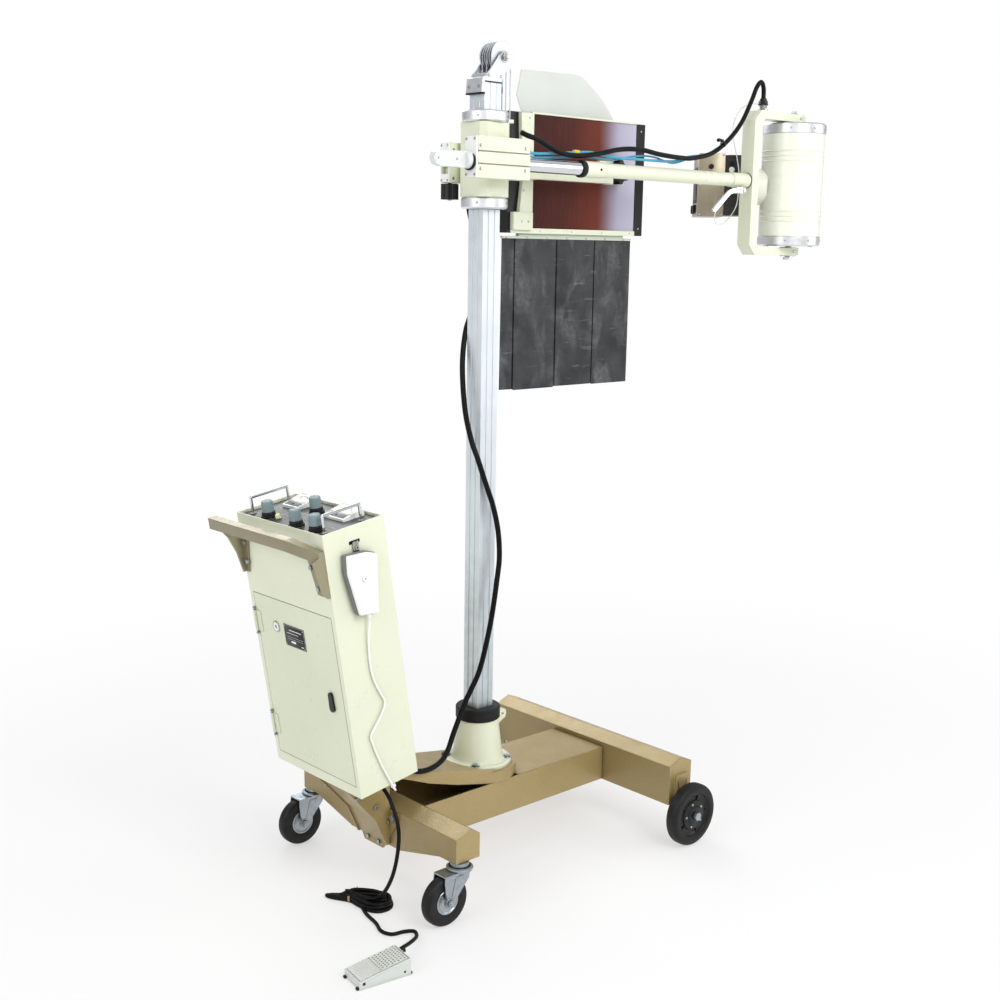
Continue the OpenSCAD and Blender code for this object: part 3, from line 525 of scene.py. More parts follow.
def metal(name, tone, rough=0.22, streak=None, streak_mix=0.12, spangle=0.0, smudge=0.10,
          bevel=0.0009, bumpy=0.03, aniso=0.0, dark=0.5, edge=0.3, grade=None):
    """Bare or plated metal; grade is (low z, high z, amount) of a darkening towards the floor."""
    mat, tone = Shader(name), hex_color(tone)
    mat.round(bevel)
    mat.base(gain(tone, 0.93), gain(tone, 1.05), mat.clouds(noise=(5, 3, 0.55)))
    if grade:
        low, high, amount = grade
        mat.tint((tone[0] * 0.42, tone[1] * 0.46, tone[2] * 0.42, 1),
                 mat.remap(mat.xyz(mat.place)[2], (low, high), (1.0, 0.0), "SMOOTHSTEP"),
                 mat.clouds(noise=(26, 5, 0.65), to=(amount * 0.6, amount * 1.4)))
    roughness = mat.clouds(noise=(24, 5, 0.62), span=(0.30, 0.72),
                           to=(rough * 0.8, rough + smudge))
    if streak:
        fine = mat.noise(1.0, 3, 0.6, stretch=streak)
        mat.tint(gain(tone, 0.55), mat.remap(fine, span=(0.35, 0.7)), streak_mix)
        mat.tint(gain(tone, 1.25), mat.clouds(noise=(1.0, 2, 0.5), span=(0.45, 0.65),
                                              stretch=tuple(v * 0.22 for v in streak)),
                 streak_mix * 1.1)
        roughness = mat.math("ADD", roughness, mat.remap(fine, (0.3, 0.7), to=(-0.03, 0.08)))
        mat.bump(fine, strength=bumpy * 2.0, distance=0.0003)
    if spangle:
        cells = mat.node("TexVoronoi", {"Vector": mat.place, "Scale": 90.0}).outputs["Color"]
        shade = mat.node("SeparateColor", {0: cells}).outputs[0]
        mat.tint(gain(tone, 0.62), shade, spangle)
        roughness = mat.math("ADD", roughness, mat.times(shade, 0.12))
    mat.bump((260, 3, 0.6), strength=bumpy, distance=0.0003)
    # painted highlight along the rounded edges
    mat.tint(gain(tone, 1.25), mat.edges(), edge)
    # painted shade in the inner corners, from ambient occlusion
    mat.tint(linear((0.16, 0.15, 0.14)), mat.corners(0.008), dark)
    mat.surface(Metallic=1.0, Roughness=roughness, Anisotropic=aniso)


def polymer(name, tone, rough=0.45, grain=0.08, grain_scale=900.0, var=0.12, edge=(0.3, 1.8),
            dust=0.15, coat=0.0, bevel=0.0009, dust_rgb=(0.55, 0.54, 0.50), spec=0.5):
    """Plastic or rubber; edge is (amount, gain) of the lighter edges, which are wear and a painted
    highlight.
    """
    mat, tone = Shader(name), hex_color(tone)
    mat.round(bevel)
    mat.base(gain(tone, 1 - var), gain(tone, 1 + var), mat.clouds(noise=(9, 4, 0.6)))
    # lighter rounded edges: wear and a painted highlight
    mat.tint(gain(tone, edge[1]), mat.edges(), edge[0])
    mat.tint(linear(dust_rgb), mat.clouds(noise=(46, 6, 0.68), span=(0.52, 0.78)), dust)
    mat.bump((grain_scale, 3, 0.6), strength=grain, distance=0.0003)
    mat.surface(Roughness=mat.clouds(noise=(30, 4, 0.6), to=(rough - 0.06, rough + 0.10)),
                Coat_Weight=coat, Coat_Roughness=0.15, Specular_IOR_Level=spec)


enamel("cream_enamel", "#DFE3CB", shade="#D6DCBC", scuff=0.03)
# lighter copy of the cream enamel for the tube housing: painted highlight
enamel("cream_enamel_head_lit", "#F0F2E4", shade="#DDE2C6", scuff=0.02)
# darker, greener copy of the cream enamel for the door, which faces -X: painted shade
enamel("cream_enamel_door_shaded", "#D9DEC4", shade="#CBD4B0", peel=0.14, scuff=0.03)
hammered("bronze_hammer_paint", "#AE9968")
hammered("bronze_hammer_paint_handle", "#9F9779", cell=340, depth=0.35)
metal("column_aluminium", "#E6EDF2", rough=0.50, streak=(260, 260, 1.4), streak_mix=0.07,
      aniso=0.2, dark=0.14, edge=0.1, grade=(0.40, 1.05, 0.34))
metal("cast_aluminium", "#DDE0E4", rough=0.46, smudge=0.12, bumpy=0.10, dark=0.4)
metal("turned_aluminium", "#E6E8EC", rough=0.34, streak=(3.0, 3.0, 900), streak_mix=0.16,
      aniso=0.3)
metal("ring_alloy", "#E4E6EA", rough=0.44, bumpy=0.05, dark=0.4)
metal("cast_sheave", "#D5DADF", rough=0.42, smudge=0.08, bumpy=0.04, dark=0.45, edge=0.1)
metal("chrome_plate", "#DADCE0", rough=0.07, smudge=0.08, bumpy=0.01, dark=0.3)
metal("zinc_plate", "#AEB6BC", rough=0.26, spangle=0.28, smudge=0.18, bumpy=0.08)
metal("nickel_fitting", "#B9B8B2", rough=0.20, smudge=0.16)
metal("core_iron", "#5B5854", rough=0.5, smudge=0.2)
polymer("black_rubber", "#0E0E10", rough=0.55, grain=0.14, dust=0.05, spec=0.3)
polymer("tyre_rubber", "#0D0D0F", rough=0.50, grain=0.16, grain_scale=500, dust=0.14,
        dust_rgb=(0.36, 0.35, 0.33), spec=0.35)
polymer("black_moulded", "#0D0D0F", rough=0.36, grain=0.10, dust=0.04, spec=0.35)
polymer("cable_sheath", "#060608", rough=0.42, grain=0.05, dust=0.02, bevel=0.0002, spec=0.16)
polymer("blue_sheath", "#3FA3C4", rough=0.34, grain=0.04, dust=0.10, bevel=0.0002, edge=(0, 1))
polymer("white_moulded", "#EDEEEC", rough=0.34, grain=0.05, dust=0.10, var=0.03,
        edge=(0.2, 1.05), dust_rgb=(0.70, 0.69, 0.62), coat=0.2)
polymer("handle_white", "#D6DAD8", rough=0.34, grain=0.05, dust=0.14, var=0.04,
        edge=(0.2, 1.06), dust_rgb=(0.66, 0.67, 0.62), coat=0.2)
polymer("grey_moulded", "#6F7378", rough=0.42, dust=0.10)
polymer("knob_grey", "#7C8F94", rough=0.40, grain=0.06, dust=0.16,
        dust_rgb=(0.68, 0.72, 0.72))
polymer("yellow_tag", "#D9C81E", rough=0.5, grain=0.05)
polymer("lamp_lens", "#E6E2A8", rough=0.18, grain=0.02, dust=0.05, coat=0.6)
metal("wheel_hub", "#B4BABE", rough=0.30, spangle=0.10, smudge=0.2)
metal("steel_rope", "#C9CDD2", rough=0.34, streak=(900, 900, 900), streak_mix=0.3, bevel=0.0002)
polymer("tan_tie", "#8A7A52", rough=0.5, grain=0.05, bevel=0.0002)
polymer("scale_card", "#F1F1EC", rough=0.55, grain=0.03, dust=0.05, var=0.02, edge=(0, 1))
polymer("amber_lens", "#E07A2A", rough=0.2, grain=0.02, dust=0.03, coat=0.6)
polymer("white_cord", "#F0F0EE", rough=0.42, grain=0.04, dust=0.10, var=0.03, edge=(0, 1),
        dust_rgb=(0.7, 0.68, 0.62))


def control_panel_plate():
    """Speckled grey-green plate."""
    mat, tone = Shader("control_panel_plate"), hex_color("#3C4442")
    mat.round(0.0008)
    mat.base(gain(tone, 0.6), gain(tone, 1.35), mat.clouds(noise=(40, 6, 0.7)))
    mat.tint("#9AA6A1", mat.clouds(noise=(420, 3, 0.7), span=(0.56, 0.70)), 0.75)
    mat.bump((300, 3, 0.6), strength=0.25, distance=0.0004)
    mat.surface(Metallic=0.35, Roughness=0.46, Coat_Weight=0.08)


def blank_plate():
    """Dark anodised plate."""
    mat = Shader("blank_plate")
    mat.base("#17191B", "#2A2D30", mat.clouds(noise=(300, 4, 0.7), span=(0.4, 0.7)))
    mat.bump((700, 2, 0.5), strength=0.1, distance=0.0002)
    mat.surface(Metallic=0.5, Roughness=0.34)


def mahogany_board():
    """Red-brown lacquered board with upright figure, paler towards its +X edge, where a pale
    lavender stripe is a painted reflection.
    """
    mat = Shader("mahogany_board")
    low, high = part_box("screen_panel")
    place = mat.xyz(mat.place)
    grain = mat.noise(1.0, 5, 0.62, stretch=(150, 60, 9))
    fine_grain = mat.noise(1.0, 4, 0.6, stretch=(420, 300, 26))
    dark, red = hex_color("#3C1A18"), hex_color("#6E2C1C")
    side = mat.remap(place[0], span=(low.x, high.x))
    mat.base(dark, "#582519", side)
    mat.tint(red, mat.remap(place[2], span=(low.z, high.z), to=(1.0, 0.0)), mat.times(side, 0.6))
    mat.tint(gain(dark, 0.55), mat.remap(grain, span=(0.35, 0.7)), 0.35)
    mat.tint(gain(red, 1.25), mat.remap(fine_grain, span=(0.5, 0.72)), 0.25)
    mat.tint("#7E3624", mat.remap(side, span=(0.36, 0.66), interp="SMOOTHSTEP"), 0.45)
    # painted reflection: the pale gloss band, with a wavering start
    waver = mat.clouds(noise=(7, 2, 0.5), span=(0, 1), to=(-0.03, 0.03))
    band = mat.remap(mat.math("ADD", side, waver), span=(0.64, 0.86), interp="SMOOTHSTEP")
    mat.tint(mat.mix(mat.remap(side, span=(0.74, 0.98)), "#A9A8C0", "#C6C5DA"), band, 0.86)
    mat.bump(fine_grain, strength=0.05, distance=0.0004)
    mat.surface(Roughness=mat.clouds(noise=(16, 4, 0.6), to=(0.42, 0.55)),
                Coat_Weight=0.02, Coat_Roughness=0.2, Specular_IOR_Level=0.12)


def frosted_sheet():
    mat = Shader("frosted_sheet")
    mat.base("#DCE0DA", "#E6E9E4", mat.clouds(noise=(5, 3, 0.5)))
    mat.bump((120, 2, 0.5), strength=0.04, distance=0.0004)
    mat.surface(Roughness=mat.clouds(noise=(30, 4, 0.6), to=(0.30, 0.45)),
                Transmission_Weight=0.25, IOR=1.3, Coat_Weight=0.3)


def lead_rubber_sheet():
    """Charcoal sheet with broad chalky bloom and rubbed creases."""
    mat = Shader("lead_rubber_sheet")
    mat.base("#222126", "#36383A", mat.clouds(noise=(9, 4, 0.6), span=(0.32, 0.70)))
    mat.tint("#3C423E", mat.clouds(noise=(17, 3, 0.6), span=(0.45, 0.68), to=(0.0, 0.55)))
    broad = mat.clouds(noise=(1.0, 3, 0.55), span=(0.44, 0.76), interp="SMOOTHSTEP",
                       stretch=(15, 15, 8), lean=radians(-14), distort=0.5)
    broken = mat.clouds(noise=(90, 6, 0.75), span=(0.25, 0.75))
    bloom = mat.times(broad, broken)
    mat.tint("#8A8C8D", bloom, 0.62)
    crease = mat.clouds(noise=(1.0, 4, 0.6), span=(0.60, 0.72), interp="SMOOTHSTEP",
                        stretch=(9, 9, 70), lean=radians(7), distort=0.3)
    mat.tint("#9A9B9C", crease, broken, 0.42)
    mat.tint("#86867F", mat.clouds(noise=(320, 4, 0.72), span=(0.60, 0.76)), 0.30)
    relief = mat.math("ADD", mat.times(broad, 0.5), mat.times(mat.noise(60, 4, 0.6), 0.5))
    mat.bump(relief, strength=0.30, distance=0.0012)
    mat.bump((900, 2, 0.6), strength=0.12, distance=0.0003)
    mat.surface(Roughness=mat.remap(bloom, span=(0.0, 1.0), to=(0.50, 0.78)),
                Specular_IOR_Level=0.3)


def meter_white():
    mat = Shader("meter_white")
    mat.round(0.001)
    mat.base("#EDEEEB", "#F6F6F4", mat.clouds(noise=(30, 3, 0.5)))
    mat.bump((500, 2, 0.5), strength=0.04, distance=0.0002)
    mat.surface(Roughness=0.22, Coat_Weight=0.5)


def limiter_brown():
    """Brown lacquered sheet with a satin vertical rub."""
    mat, tone = Shader("limiter_brown"), hex_color("#9C927A")
    mat.round(0.001)
    mat.base(gain(tone, 0.82), gain(tone, 1.18), mat.clouds(noise=(8, 4, 0.6)))
    mat.tint("#B4A698", mat.clouds(noise=(1.0, 4, 0.6), span=(0.45, 0.7),
                                   stretch=(60, 60, 8)), 0.35)
    # lighter rounded edges: painted highlight
    mat.tint("#C9C0B4", mat.edges(), 0.5)
    mat.bump((400, 2, 0.5), strength=0.08, distance=0.0003)
    mat.surface(Metallic=0.35, Roughness=0.34, Coat_Weight=0.3)


def tube_glass():
    mat = Shader("tube_glass")
    mat.base("#A8BDBA", "#C4D3D0", mat.clouds(noise=(12, 3, 0.5)))
    mat.surface(Roughness=0.12, Transmission_Weight=0.6)


control_panel_plate()
blank_plate()
mahogany_board()
frosted_sheet()
lead_rubber_sheet()
meter_white()
enamel("switch_enamel", "#D3D7D2", rough=0.34, peel=0.22, var=0.06, corner_dirt_and_shade=(0.32, 0.30, 0.24),
       scuff=0.3, bevel=0.0008)
enamel("switch_tread_shadow", "#6F7568", rough=0.5, peel=0.2, var=0.10,
       corner_dirt_and_shade=(0.20, 0.19, 0.15), scuff=0.2, bevel=0.0005)
limiter_brown()
polymer("limiter_neck", "#1E1917", rough=0.42, grain=0.12, dust=0.12)
polymer("dial_ink", "#1A1A1A", rough=0.5, grain=0.02, dust=0.0)
polymer("needle_red", "#A8231C", rough=0.4, grain=0.02, dust=0.0)
enamel("pale_green_strip", "#C9D2C0", rough=0.35)
tube_glass()

# ---------------------------------------------------------------- CAD pieces
CAD_MATERIALS = {   # material: the CAD pieces that wear it
    "bronze_hammer_paint": "main_beam rear_crossbeam front_crossbeam cabinet_bracket",
    "bronze_hammer_paint_handle": "push_handle",
    "zinc_plate": "base_bolts wheel_studs caster_fork_left caster_fork_right",
    "cream_enamel": "column_seat cabinet_shell carriage_sleeve arm_block screen_block "
                    "arm_tube yoke screen_bar",
    "cream_enamel_head_lit": "tube_housing",
    "cream_enamel_door_shaded": "cabinet_door",
    "control_panel_plate": "control_panel",
    "chrome_plate": "panel_handles arm_rod clamp_lever",
    "meter_white": "panel_meters",
    "core_iron": "transformer counterweight",
    "switch_enamel": "foot_switch_base foot_pedal",
    "column_aluminium": "column_post",
    "cast_aluminium": "pulley_bracket",
    "ring_alloy": "carriage_rings",
    "turned_aluminium": "end_caps",
    "cast_sheave": "rope_pulley",
    "black_rubber": "column_collar",
    "black_moulded": "screen_clamp_knob door_latch screen_rails screen_knob",
    "handle_white": "arm_handle",
    "nickel_fitting": "cable_gland",
    "tube_glass": "xray_insert",
    "limiter_brown": "beam_limiter",
    "mahogany_board": "screen_panel",
    "frosted_sheet": "chin_plate",
    "white_moulded": "handset exposure_button block_end_plates",
    "knob_grey": "knob_1 knob_2 knob_3 knob_4",
    "tyre_rubber": "caster_wheel_left caster_wheel_right rear_wheel_left rear_wheel_right",
    "lead_rubber_sheet": "lead_apron",
    "cable_sheath": "base_cables column_cable arm_cable",
    "blue_sheath": "hoist_ropes",
}
for material_name, names in CAD_MATERIALS.items():
    for name in names.split():
        slots = nodes[name].data.materials
        if not slots:
            slots.append(None)
        for i in range(len(slots)):
            slots[i] = MATERIALS[material_name]


def weld_group():
    """Geometry nodes: weld split corners and shade smooth except across sharp edges."""
    tree = bpy.data.node_groups.new("weld_and_shade", "GeometryNodeTree")
    for direction in ("INPUT", "OUTPUT"):
        tree.interface.new_socket("Geometry", in_out=direction,
                                  socket_type="NodeSocketGeometry")
    mesh = add_node(tree, "NodeGroupInput").outputs[0]
    weld = add_node(tree, "GeometryNodeMergeByDistance", {0: mesh, "Distance": 0.00002})
    angle = add_node(tree, "GeometryNodeInputMeshEdgeAngle").outputs["Unsigned Angle"]
    sharp = add_node(tree, "FunctionNodeCompare", {0: angle, 1: radians(33.0)},
                     data_type="FLOAT", operation="GREATER_THAN")
    shade = add_node(tree, "GeometryNodeSetMeshNormal",
                     {"Mesh": weld.outputs[0], "Remove Custom": True,
                      "Edge Sharpness": sharp.outputs[0], "Face Sharpness": False},
                     mode="SHARPNESS")
    add_node(tree, "NodeGroupOutput", {0: shade.outputs[0]})
    return tree


EDGE_WIDTHS = {     # bevel width: the CAD pieces that have it
    3.5: "yoke",
    4.0: "arm_handle",
    3.0: "main_beam rear_crossbeam front_crossbeam arm_block",
    2.6: "screen_block",
    1.8: "push_handle",
    1.6: "cabinet_bracket screen_bar screen_rails screen_knob",
    1.5: "carriage_sleeve handset",
    1.4: "panel_meters screen_clamp_knob",
    1.2: "cabinet_shell screen_panel foot_switch_base",
    1.0: "foot_pedal door_latch clamp_lever",
    0.9: "cabinet_door pulley_bracket",
    0.8: "chin_plate block_end_plates caster_fork_left caster_fork_right",
    0.7: "column_post",
    0.6: "base_bolts wheel_studs",
    0.5: "cable_gland control_panel",
}
edge_width = {name: width for width, names in EDGE_WIDTHS.items() for name in names.split()}
weld_and_shade = weld_group()
for name, node in nodes.items():
    node.modifiers.new("weld_and_shade", "NODES").node_group = weld_and_shade
    if name in edge_width:
        bevel = node.modifiers.new("edge_round", "BEVEL")
        bevel.width = edge_width[name] * MILLI
        bevel.segments = 3
        bevel.limit_method = "ANGLE"
        bevel.angle_limit = radians(38)
        bevel.use_clamp_overlap = True
        bevel.harden_normals = True
        bevel.miter_outer = "MITER_ARC"

# ---------------------------------------------------------------- cables; paths are (x, y, z)
CARRIAGE_TO_ARM = ("carriage", "arm", (60, 0, 0), (400, 0, 0))
ARM_TO_YOKE = ("arm", "yoke_arm", (806, 0, 0), (872, 0, 0))

# from the screen block down the column to the collar, then on to the cabinet
cable("column_cable_run", "cable_sheath", [
    (6, 67, 1752), (8, 66, 1684), (20, 56, 1620), (24, 46, 1540), (4, 44, 1440),
    (-24, 38, 1380), (-44, 26, 1296), (-50, 8, 1190), (-44, -10, 1113), (-38, -31, 1062),
    (-16, -39, 995), (3, -46, 938), (18, -50, 871), (22, -52, 805), (14, -54, 750),
    (-9, -56, 632), (-40, -53, 516), (-68, -50, 462), (-85, -48, 434),
], 7.0, 18, 9, replaces="column_cable", blend=("carriage", "column", (0, 0, 1800), (0, 0, 437)))
cable("column_cable_lower", "cable_sheath", [
    (-82, -48, 440), (-86, -48, 431), (-100, -48, 406), (-116, -50, 378), (-132, -52, 350),
    (-152, -57, 317), (-180, -66, 298), (-222, -78, 292), (-270, -90, 298), (-306, -86, 310),
    (-336, -72, 322), (-356, -61, 336),
], 7.0, 18, 7, replaces="base_cables",
      blend=("column", "base", (-100, -50, 410), (-300, -50, 310)))
cable("foot_switch_cable", "cable_sheath", [
    (-418, -116, 330), (-424, -126, 316), (-428, -168, 290), (-432, -204, 236),
    (-436, -209, 176), (-440, -192, 104), (-444, -158, 46), (-452, -122, 22), (-466, -90, 26),
    (-480, -62, 20),
], 4.9, 16, 7, ride="base", replaces="base_cables")

# spare length, folded to and fro on the floor and tied once, slim before the tie, fat after it
BUNDLE_START, BUNDLE_END = Vector((-502, -6, 0)), Vector((-420, -160, 0))
TIE_SHARE = 0.38                        # where the tie sits, as a share of the length
bundle_along = (BUNDLE_END - BUNDLE_START).normalized()
bundle_across = Vector((-bundle_along.y, bundle_along.x, 0))
bundle_length = (BUNDLE_END - BUNDLE_START).length
BUNDLE_LOOPS = (    # half width at the tie, half width beyond, height, first share, last share
    (5, 39, 6, 0.00, 1.00), (5, 28, 7, 0.10, 0.97), (4, 17, 9, 0.20, 0.95),
    (6, 36, 14, 0.05, 0.99), (5, 24, 16, 0.13, 0.97), (4, 31, 22, 0.24, 0.98),
    (3, 14, 24, 0.28, 0.93), (2, 7, 8, 0.26, 0.84), (2, 6, 17, 0.28, 0.80),
    (3, 22, 29, 0.30, 0.90),
)
piece = Piece("foot_switch_cable_bundle", "cable_sheath", "tan_tie")
for k, (slim, wide, height, tip, end) in enumerate(BUNDLE_LOOPS):
    out = [(tip, 0.0), (tip + 0.10, slim * 0.9), (TIE_SHARE, slim), (0.55 * end, wide * 0.55),
           (0.78 * end, wide), (0.93 * end, wide * 0.72), (end, 0.0)]
    path = []
    for i, (share, width) in enumerate(out + [(u, -v) for u, v in reversed(out[1:-1])]):
        z = height * (0.45 + 0.55 * min(1.0, share / TIE_SHARE))
        spot = (BUNDLE_START + bundle_along * (share * bundle_length)
                + bundle_across * (width + 1.5 * sin(k * 2.1 + i)))
        path.append((spot.x, spot.y, max(5.2, z + 1.2 * sin(i * 1.7 + k))))
    piece.tube(path, 4.7, 12, 6, cyclic=True)
tie = (Matrix.Translation(BUNDLE_START + bundle_along * (TIE_SHARE * bundle_length))
       @ rot(atan2(bundle_along.y, bundle_along.x)))
piece.lathe([(13.2, -3), (13.8, -2), (13.8, 2), (13.2, 3), (11.5, 3), (11.5, -3)],
            tie @ move(0, 0, 13.5) @ rot(radians(90), "Y"), 28, 1,
            reshape=lambda r, z, angle: r * (1.0 if abs(cos(angle)) < 0.7 else 0.93))
piece.tube([tie @ Vector(v) for v in ((0, 8, 26), (2, 13, 31), (6, 18, 29), (8, 24, 30))],
           1.1, 8, 3, 1)
piece.done("black_rubber", ride="base", replaces="base_cables")

cable("foot_switch_cable_tail", "cable_sheath", [
    (-458, -84, 14), (-472, -112, 7), (-486, -150, 5), (-496, -200, 5), (-510, -240, 5),
    (-500, -268, 5), (-472, -277, 5.5), (-453, -292, 6), (-468, -320, 10), (-508, -350, 22),
    (-552, -372, 32), (-566.4, -377.8, 33),
], 4.6, 16, 6, ride="base", replaces="base_cables")

# arm cable, cut in two near x = 632: carriage to arm, then arm to yoke
arm_path = smooth([
    (40, -88, 1866), (56, -92, 1860), (92, -92, 1852), (170, -92, 1826), (242, -92, 1822),
    (315, -92, 1832), (390, -92, 1846), (467, -92, 1850), (547, -92, 1842), (630, -92, 1838),
    (685, -92, 1840), (766, -92, 1858), (833, -92, 1896), (888, -92, 1946), (929, -92, 2008),
    (952, -92, 2050), (971, -92, 2065), (983, -92, 2050), (985, -92, 2018),
], 7)
cut = min(range(len(arm_path)), key=lambda i: abs(arm_path[i].x - 632))
for name, path, blend in (("arm_cable_inner", arm_path[:cut + 2], CARRIAGE_TO_ARM),
                          ("arm_cable_outer", arm_path[cut:], ARM_TO_YOKE)):
    # a step longer than any span gives the least sampling, two pieces to a span
    cable(name, "cable_sheath", path, 6.4, 18, 999, replaces="arm_cable", blend=blend)

# blue lead of two strands beside it
piece = Piece("blue_lead", "blue_sheath")
piece.tube([
    (44, -84, 1838), (84, -80, 1820), (184, -80, 1826), (281, -80, 1833), (330, -80, 1830),
    (389, -79, 1826), (514, -79, 1826), (618, -80, 1828), (660, -80, 1840), (703, -80, 1847),
    (752, -81, 1852), (800, -84, 1874),
], 3.6, 12, 8)
piece.tube([
    (44, -76, 1832), (90, -74, 1812), (190, -73, 1816), (290, -73, 1822), (380, -73, 1820),
    (470, -73, 1834), (540, -73, 1836), (620, -74, 1824), (690, -75, 1840), (760, -77, 1853),
    (798, -82, 1870),
], 2.6, 12, 8)
piece.done("rope_blue", blend=CARRIAGE_TO_ARM)
piece = Piece("lead_tag", "yellow_tag")
piece.box(230, 248, -85.5, -74.5, 1826.5, 1836.5, bevel=2.2)
piece.done("switch_enamel", blend=CARRIAGE_TO_ARM)

# tie that holds the lead to the arm cable, its cut tail standing off
knot = Vector((812, -92, 1884))
piece = Piece("arm_cable_tie", "black_moulded")
piece.lathe(mirrored([(6.6, -2.6), (8.6, -2.2), (8.8, 0)]) if False else
            [(6.6, -2.6), (8.6, -2.2), (8.8, 0), (8.6, 2.2), (6.6, 2.6)],
            frame_at(knot, Vector((0.87, 0, 0.49)).normalized()), 24)
piece.box(-4, 4, -4, 4, -3.4, 3.4, bevel=1.0,
          at=Matrix.Translation(knot + Vector((-9, -3, 9))) @ rot(radians(-30), "Y"))
piece.tube([knot + Vector(v) for v in ((-8, -3, 8), (-17, -5, 12), (-24, -4, 10))], 2.6, 10, 3)
piece.lathe([(0, -3.5), (4.6, -3.5), (5.2, 0), (4.6, 3.5), (0, 3.5)],
            frame_at(knot + Vector((-25, -4, 10)), (1, 0, 0.2)), 14)
piece.done("black_rubber", blend=ARM_TO_YOKE)

# thin white lead from the gland down the yoke to the limiter's side
cable("limiter_lead", "white_cord", [
    (979, -82, 2006), (962, -62, 2006), (938, -45, 1988), (927, -36, 1955), (931, -30, 1920),
    (945, -29, 1889), (960, -28, 1854), (971, -28, 1814), (974, -26, 1745), (968, -22, 1713),
    (950, -13, 1684), (922, -9, 1668), (903, -7, 1670), (900, -2, 1690), (909, 2, 1702),
], 1.5, 10, 6, "handset_white",
      blend=("yoke_arm", "head", (982, 0, 2000), (930, 0, 1700)))

# hoist ropes: carriage side, turns over the pulley, weight side inside the column
ROPE_Y = (-16, 0, 16)
for y, radius, material_name, place in zip(ROPE_Y, (1.5, 1.5, 2.6),
                                           ("steel_rope", "steel_rope", "blue_sheath"),
                                           ("near", "mid", "far")):
    piece = Piece("hoist_rope_carriage_" + place, material_name)
    piece.tube([(PULLEY_X + ROPE_TURN, y, z) for z in (1900, 1950, 2000, PULLEY_Z)],
               radius, 12, 12, wobble=0.06)
    piece.done("rope_blue", replaces="hoist_ropes",
               blend=("carriage", "column", (0, 0, 1903), (0, 0, PULLEY_Z)))
piece = Piece("hoist_rope_turns", "steel_rope")
for y in ROPE_Y:
    turn = [polar(ROPE_TURN, pi * k / 10, PULLEY_X, PULLEY_Z) for k in range(11)]
    piece.tube([(x, y, z) for x, z in turn], 1.5, 10, 5)
piece.done("rope_blue", ride="column", replaces="hoist_ropes")
piece = Piece("hoist_rope_weight_side", "steel_rope")
for y in ROPE_Y:
    piece.tube([(PULLEY_X - ROPE_TURN, y, z) for z in (PULLEY_Z, 1700, 1350, 1016.5)],
               1.5, 10, 60)
piece.done("rope_blue", replaces="hoist_ropes",
           blend=("weight", "column", (0, 0, 1016.5), (0, 0, PULLEY_Z)))

# ---------------------------------------------------------------- lead-rubber apron
APRON_TOP, APRON_BOTTOM = 1621.0, 1212.5
APRON_STEP, APRON_THICK = 11.0, 2.6     # grid pitch and sheet thickness


def clamp(value, low, high):
    return max(low, min(high, value))


def hang(name, grid):
    """Cloth simulation of the grid, pinned along its top row; gives the settled points."""
    data = bpy.data.meshes.new(name)
    width = len(grid[0])
    faces = [(j * width + i, j * width + i + 1, (j + 1) * width + i + 1, (j + 1) * width + i)
             for j in range(len(grid) - 1) for i in range(width - 1)]
    data.from_pydata([point * MILLI for row in grid for point in row], [], faces)
    sheet = bpy.data.objects.new(name, data)
    scene.collection.objects.link(sheet)
    sheet.vertex_groups.new(name="pin").add(list(range(width)), 1.0, "REPLACE")
    cloth = sheet.modifiers.new("Cloth", "CLOTH")
    settings = cloth.settings
    settings.quality = 6
    settings.mass = 2.4
    settings.tension_stiffness = settings.compression_stiffness = 40
    settings.shear_stiffness = 20
    settings.bending_stiffness = 6.0
    settings.vertex_group_mass = "pin"
    settings.air_damping = 1.5
    cloth.collision_settings.use_collision = False
    cloth.collision_settings.use_self_collision = False
    cloth.point_cache.frame_start, cloth.point_cache.frame_end = 1, 22
    for frame_number in range(1, 23):
        scene.frame_set(frame_number)
    settled = sheet.evaluated_get(bpy.context.evaluated_depsgraph_get())
    points = [vert.co.copy() / MILLI for vert in settled.data.vertices]
    bpy.data.objects.remove(sheet)
    scene.frame_set(1)
    return points


def strip_grid(name, x0, x1, y, bottom, seed):
    """Mid-surface of one hanging strip, as rows of points from a slightly gathered top edge."""
    columns = max(3, int(round((x1 - x0) / APRON_STEP)))
    rows = int(round((APRON_TOP - bottom) / APRON_STEP))
    grid = []
    for j in range(rows + 1):
        row = []
        for i in range(columns + 1):
            u, v = i / columns, j / rows
            bulge = (1.5 * sin(pi * u) * sin(seed * 1.7 + v * 2.3)
                     + 0.9 * noise.noise(Vector((u * 2.2 + seed * 7, v * 3.1, seed))))
            row.append(Vector((x0 + (x1 - x0) * u, y + bulge,
                               APRON_TOP - (APRON_TOP - bottom) * v)))
        grid.append(row)
    settled = iter(hang(name + "_sim", grid))
    for row in grid:
        for i, start in enumerate(row):
            point = next(settled)
            drift = point - start
            row[i] = Vector((start.x + clamp(drift.x, -1.5, 1.5),
                             y + clamp(point.y - y, -2.3, 2.3),
                             start.z + clamp(drift.z, -2.0, 1.0)))
    return grid


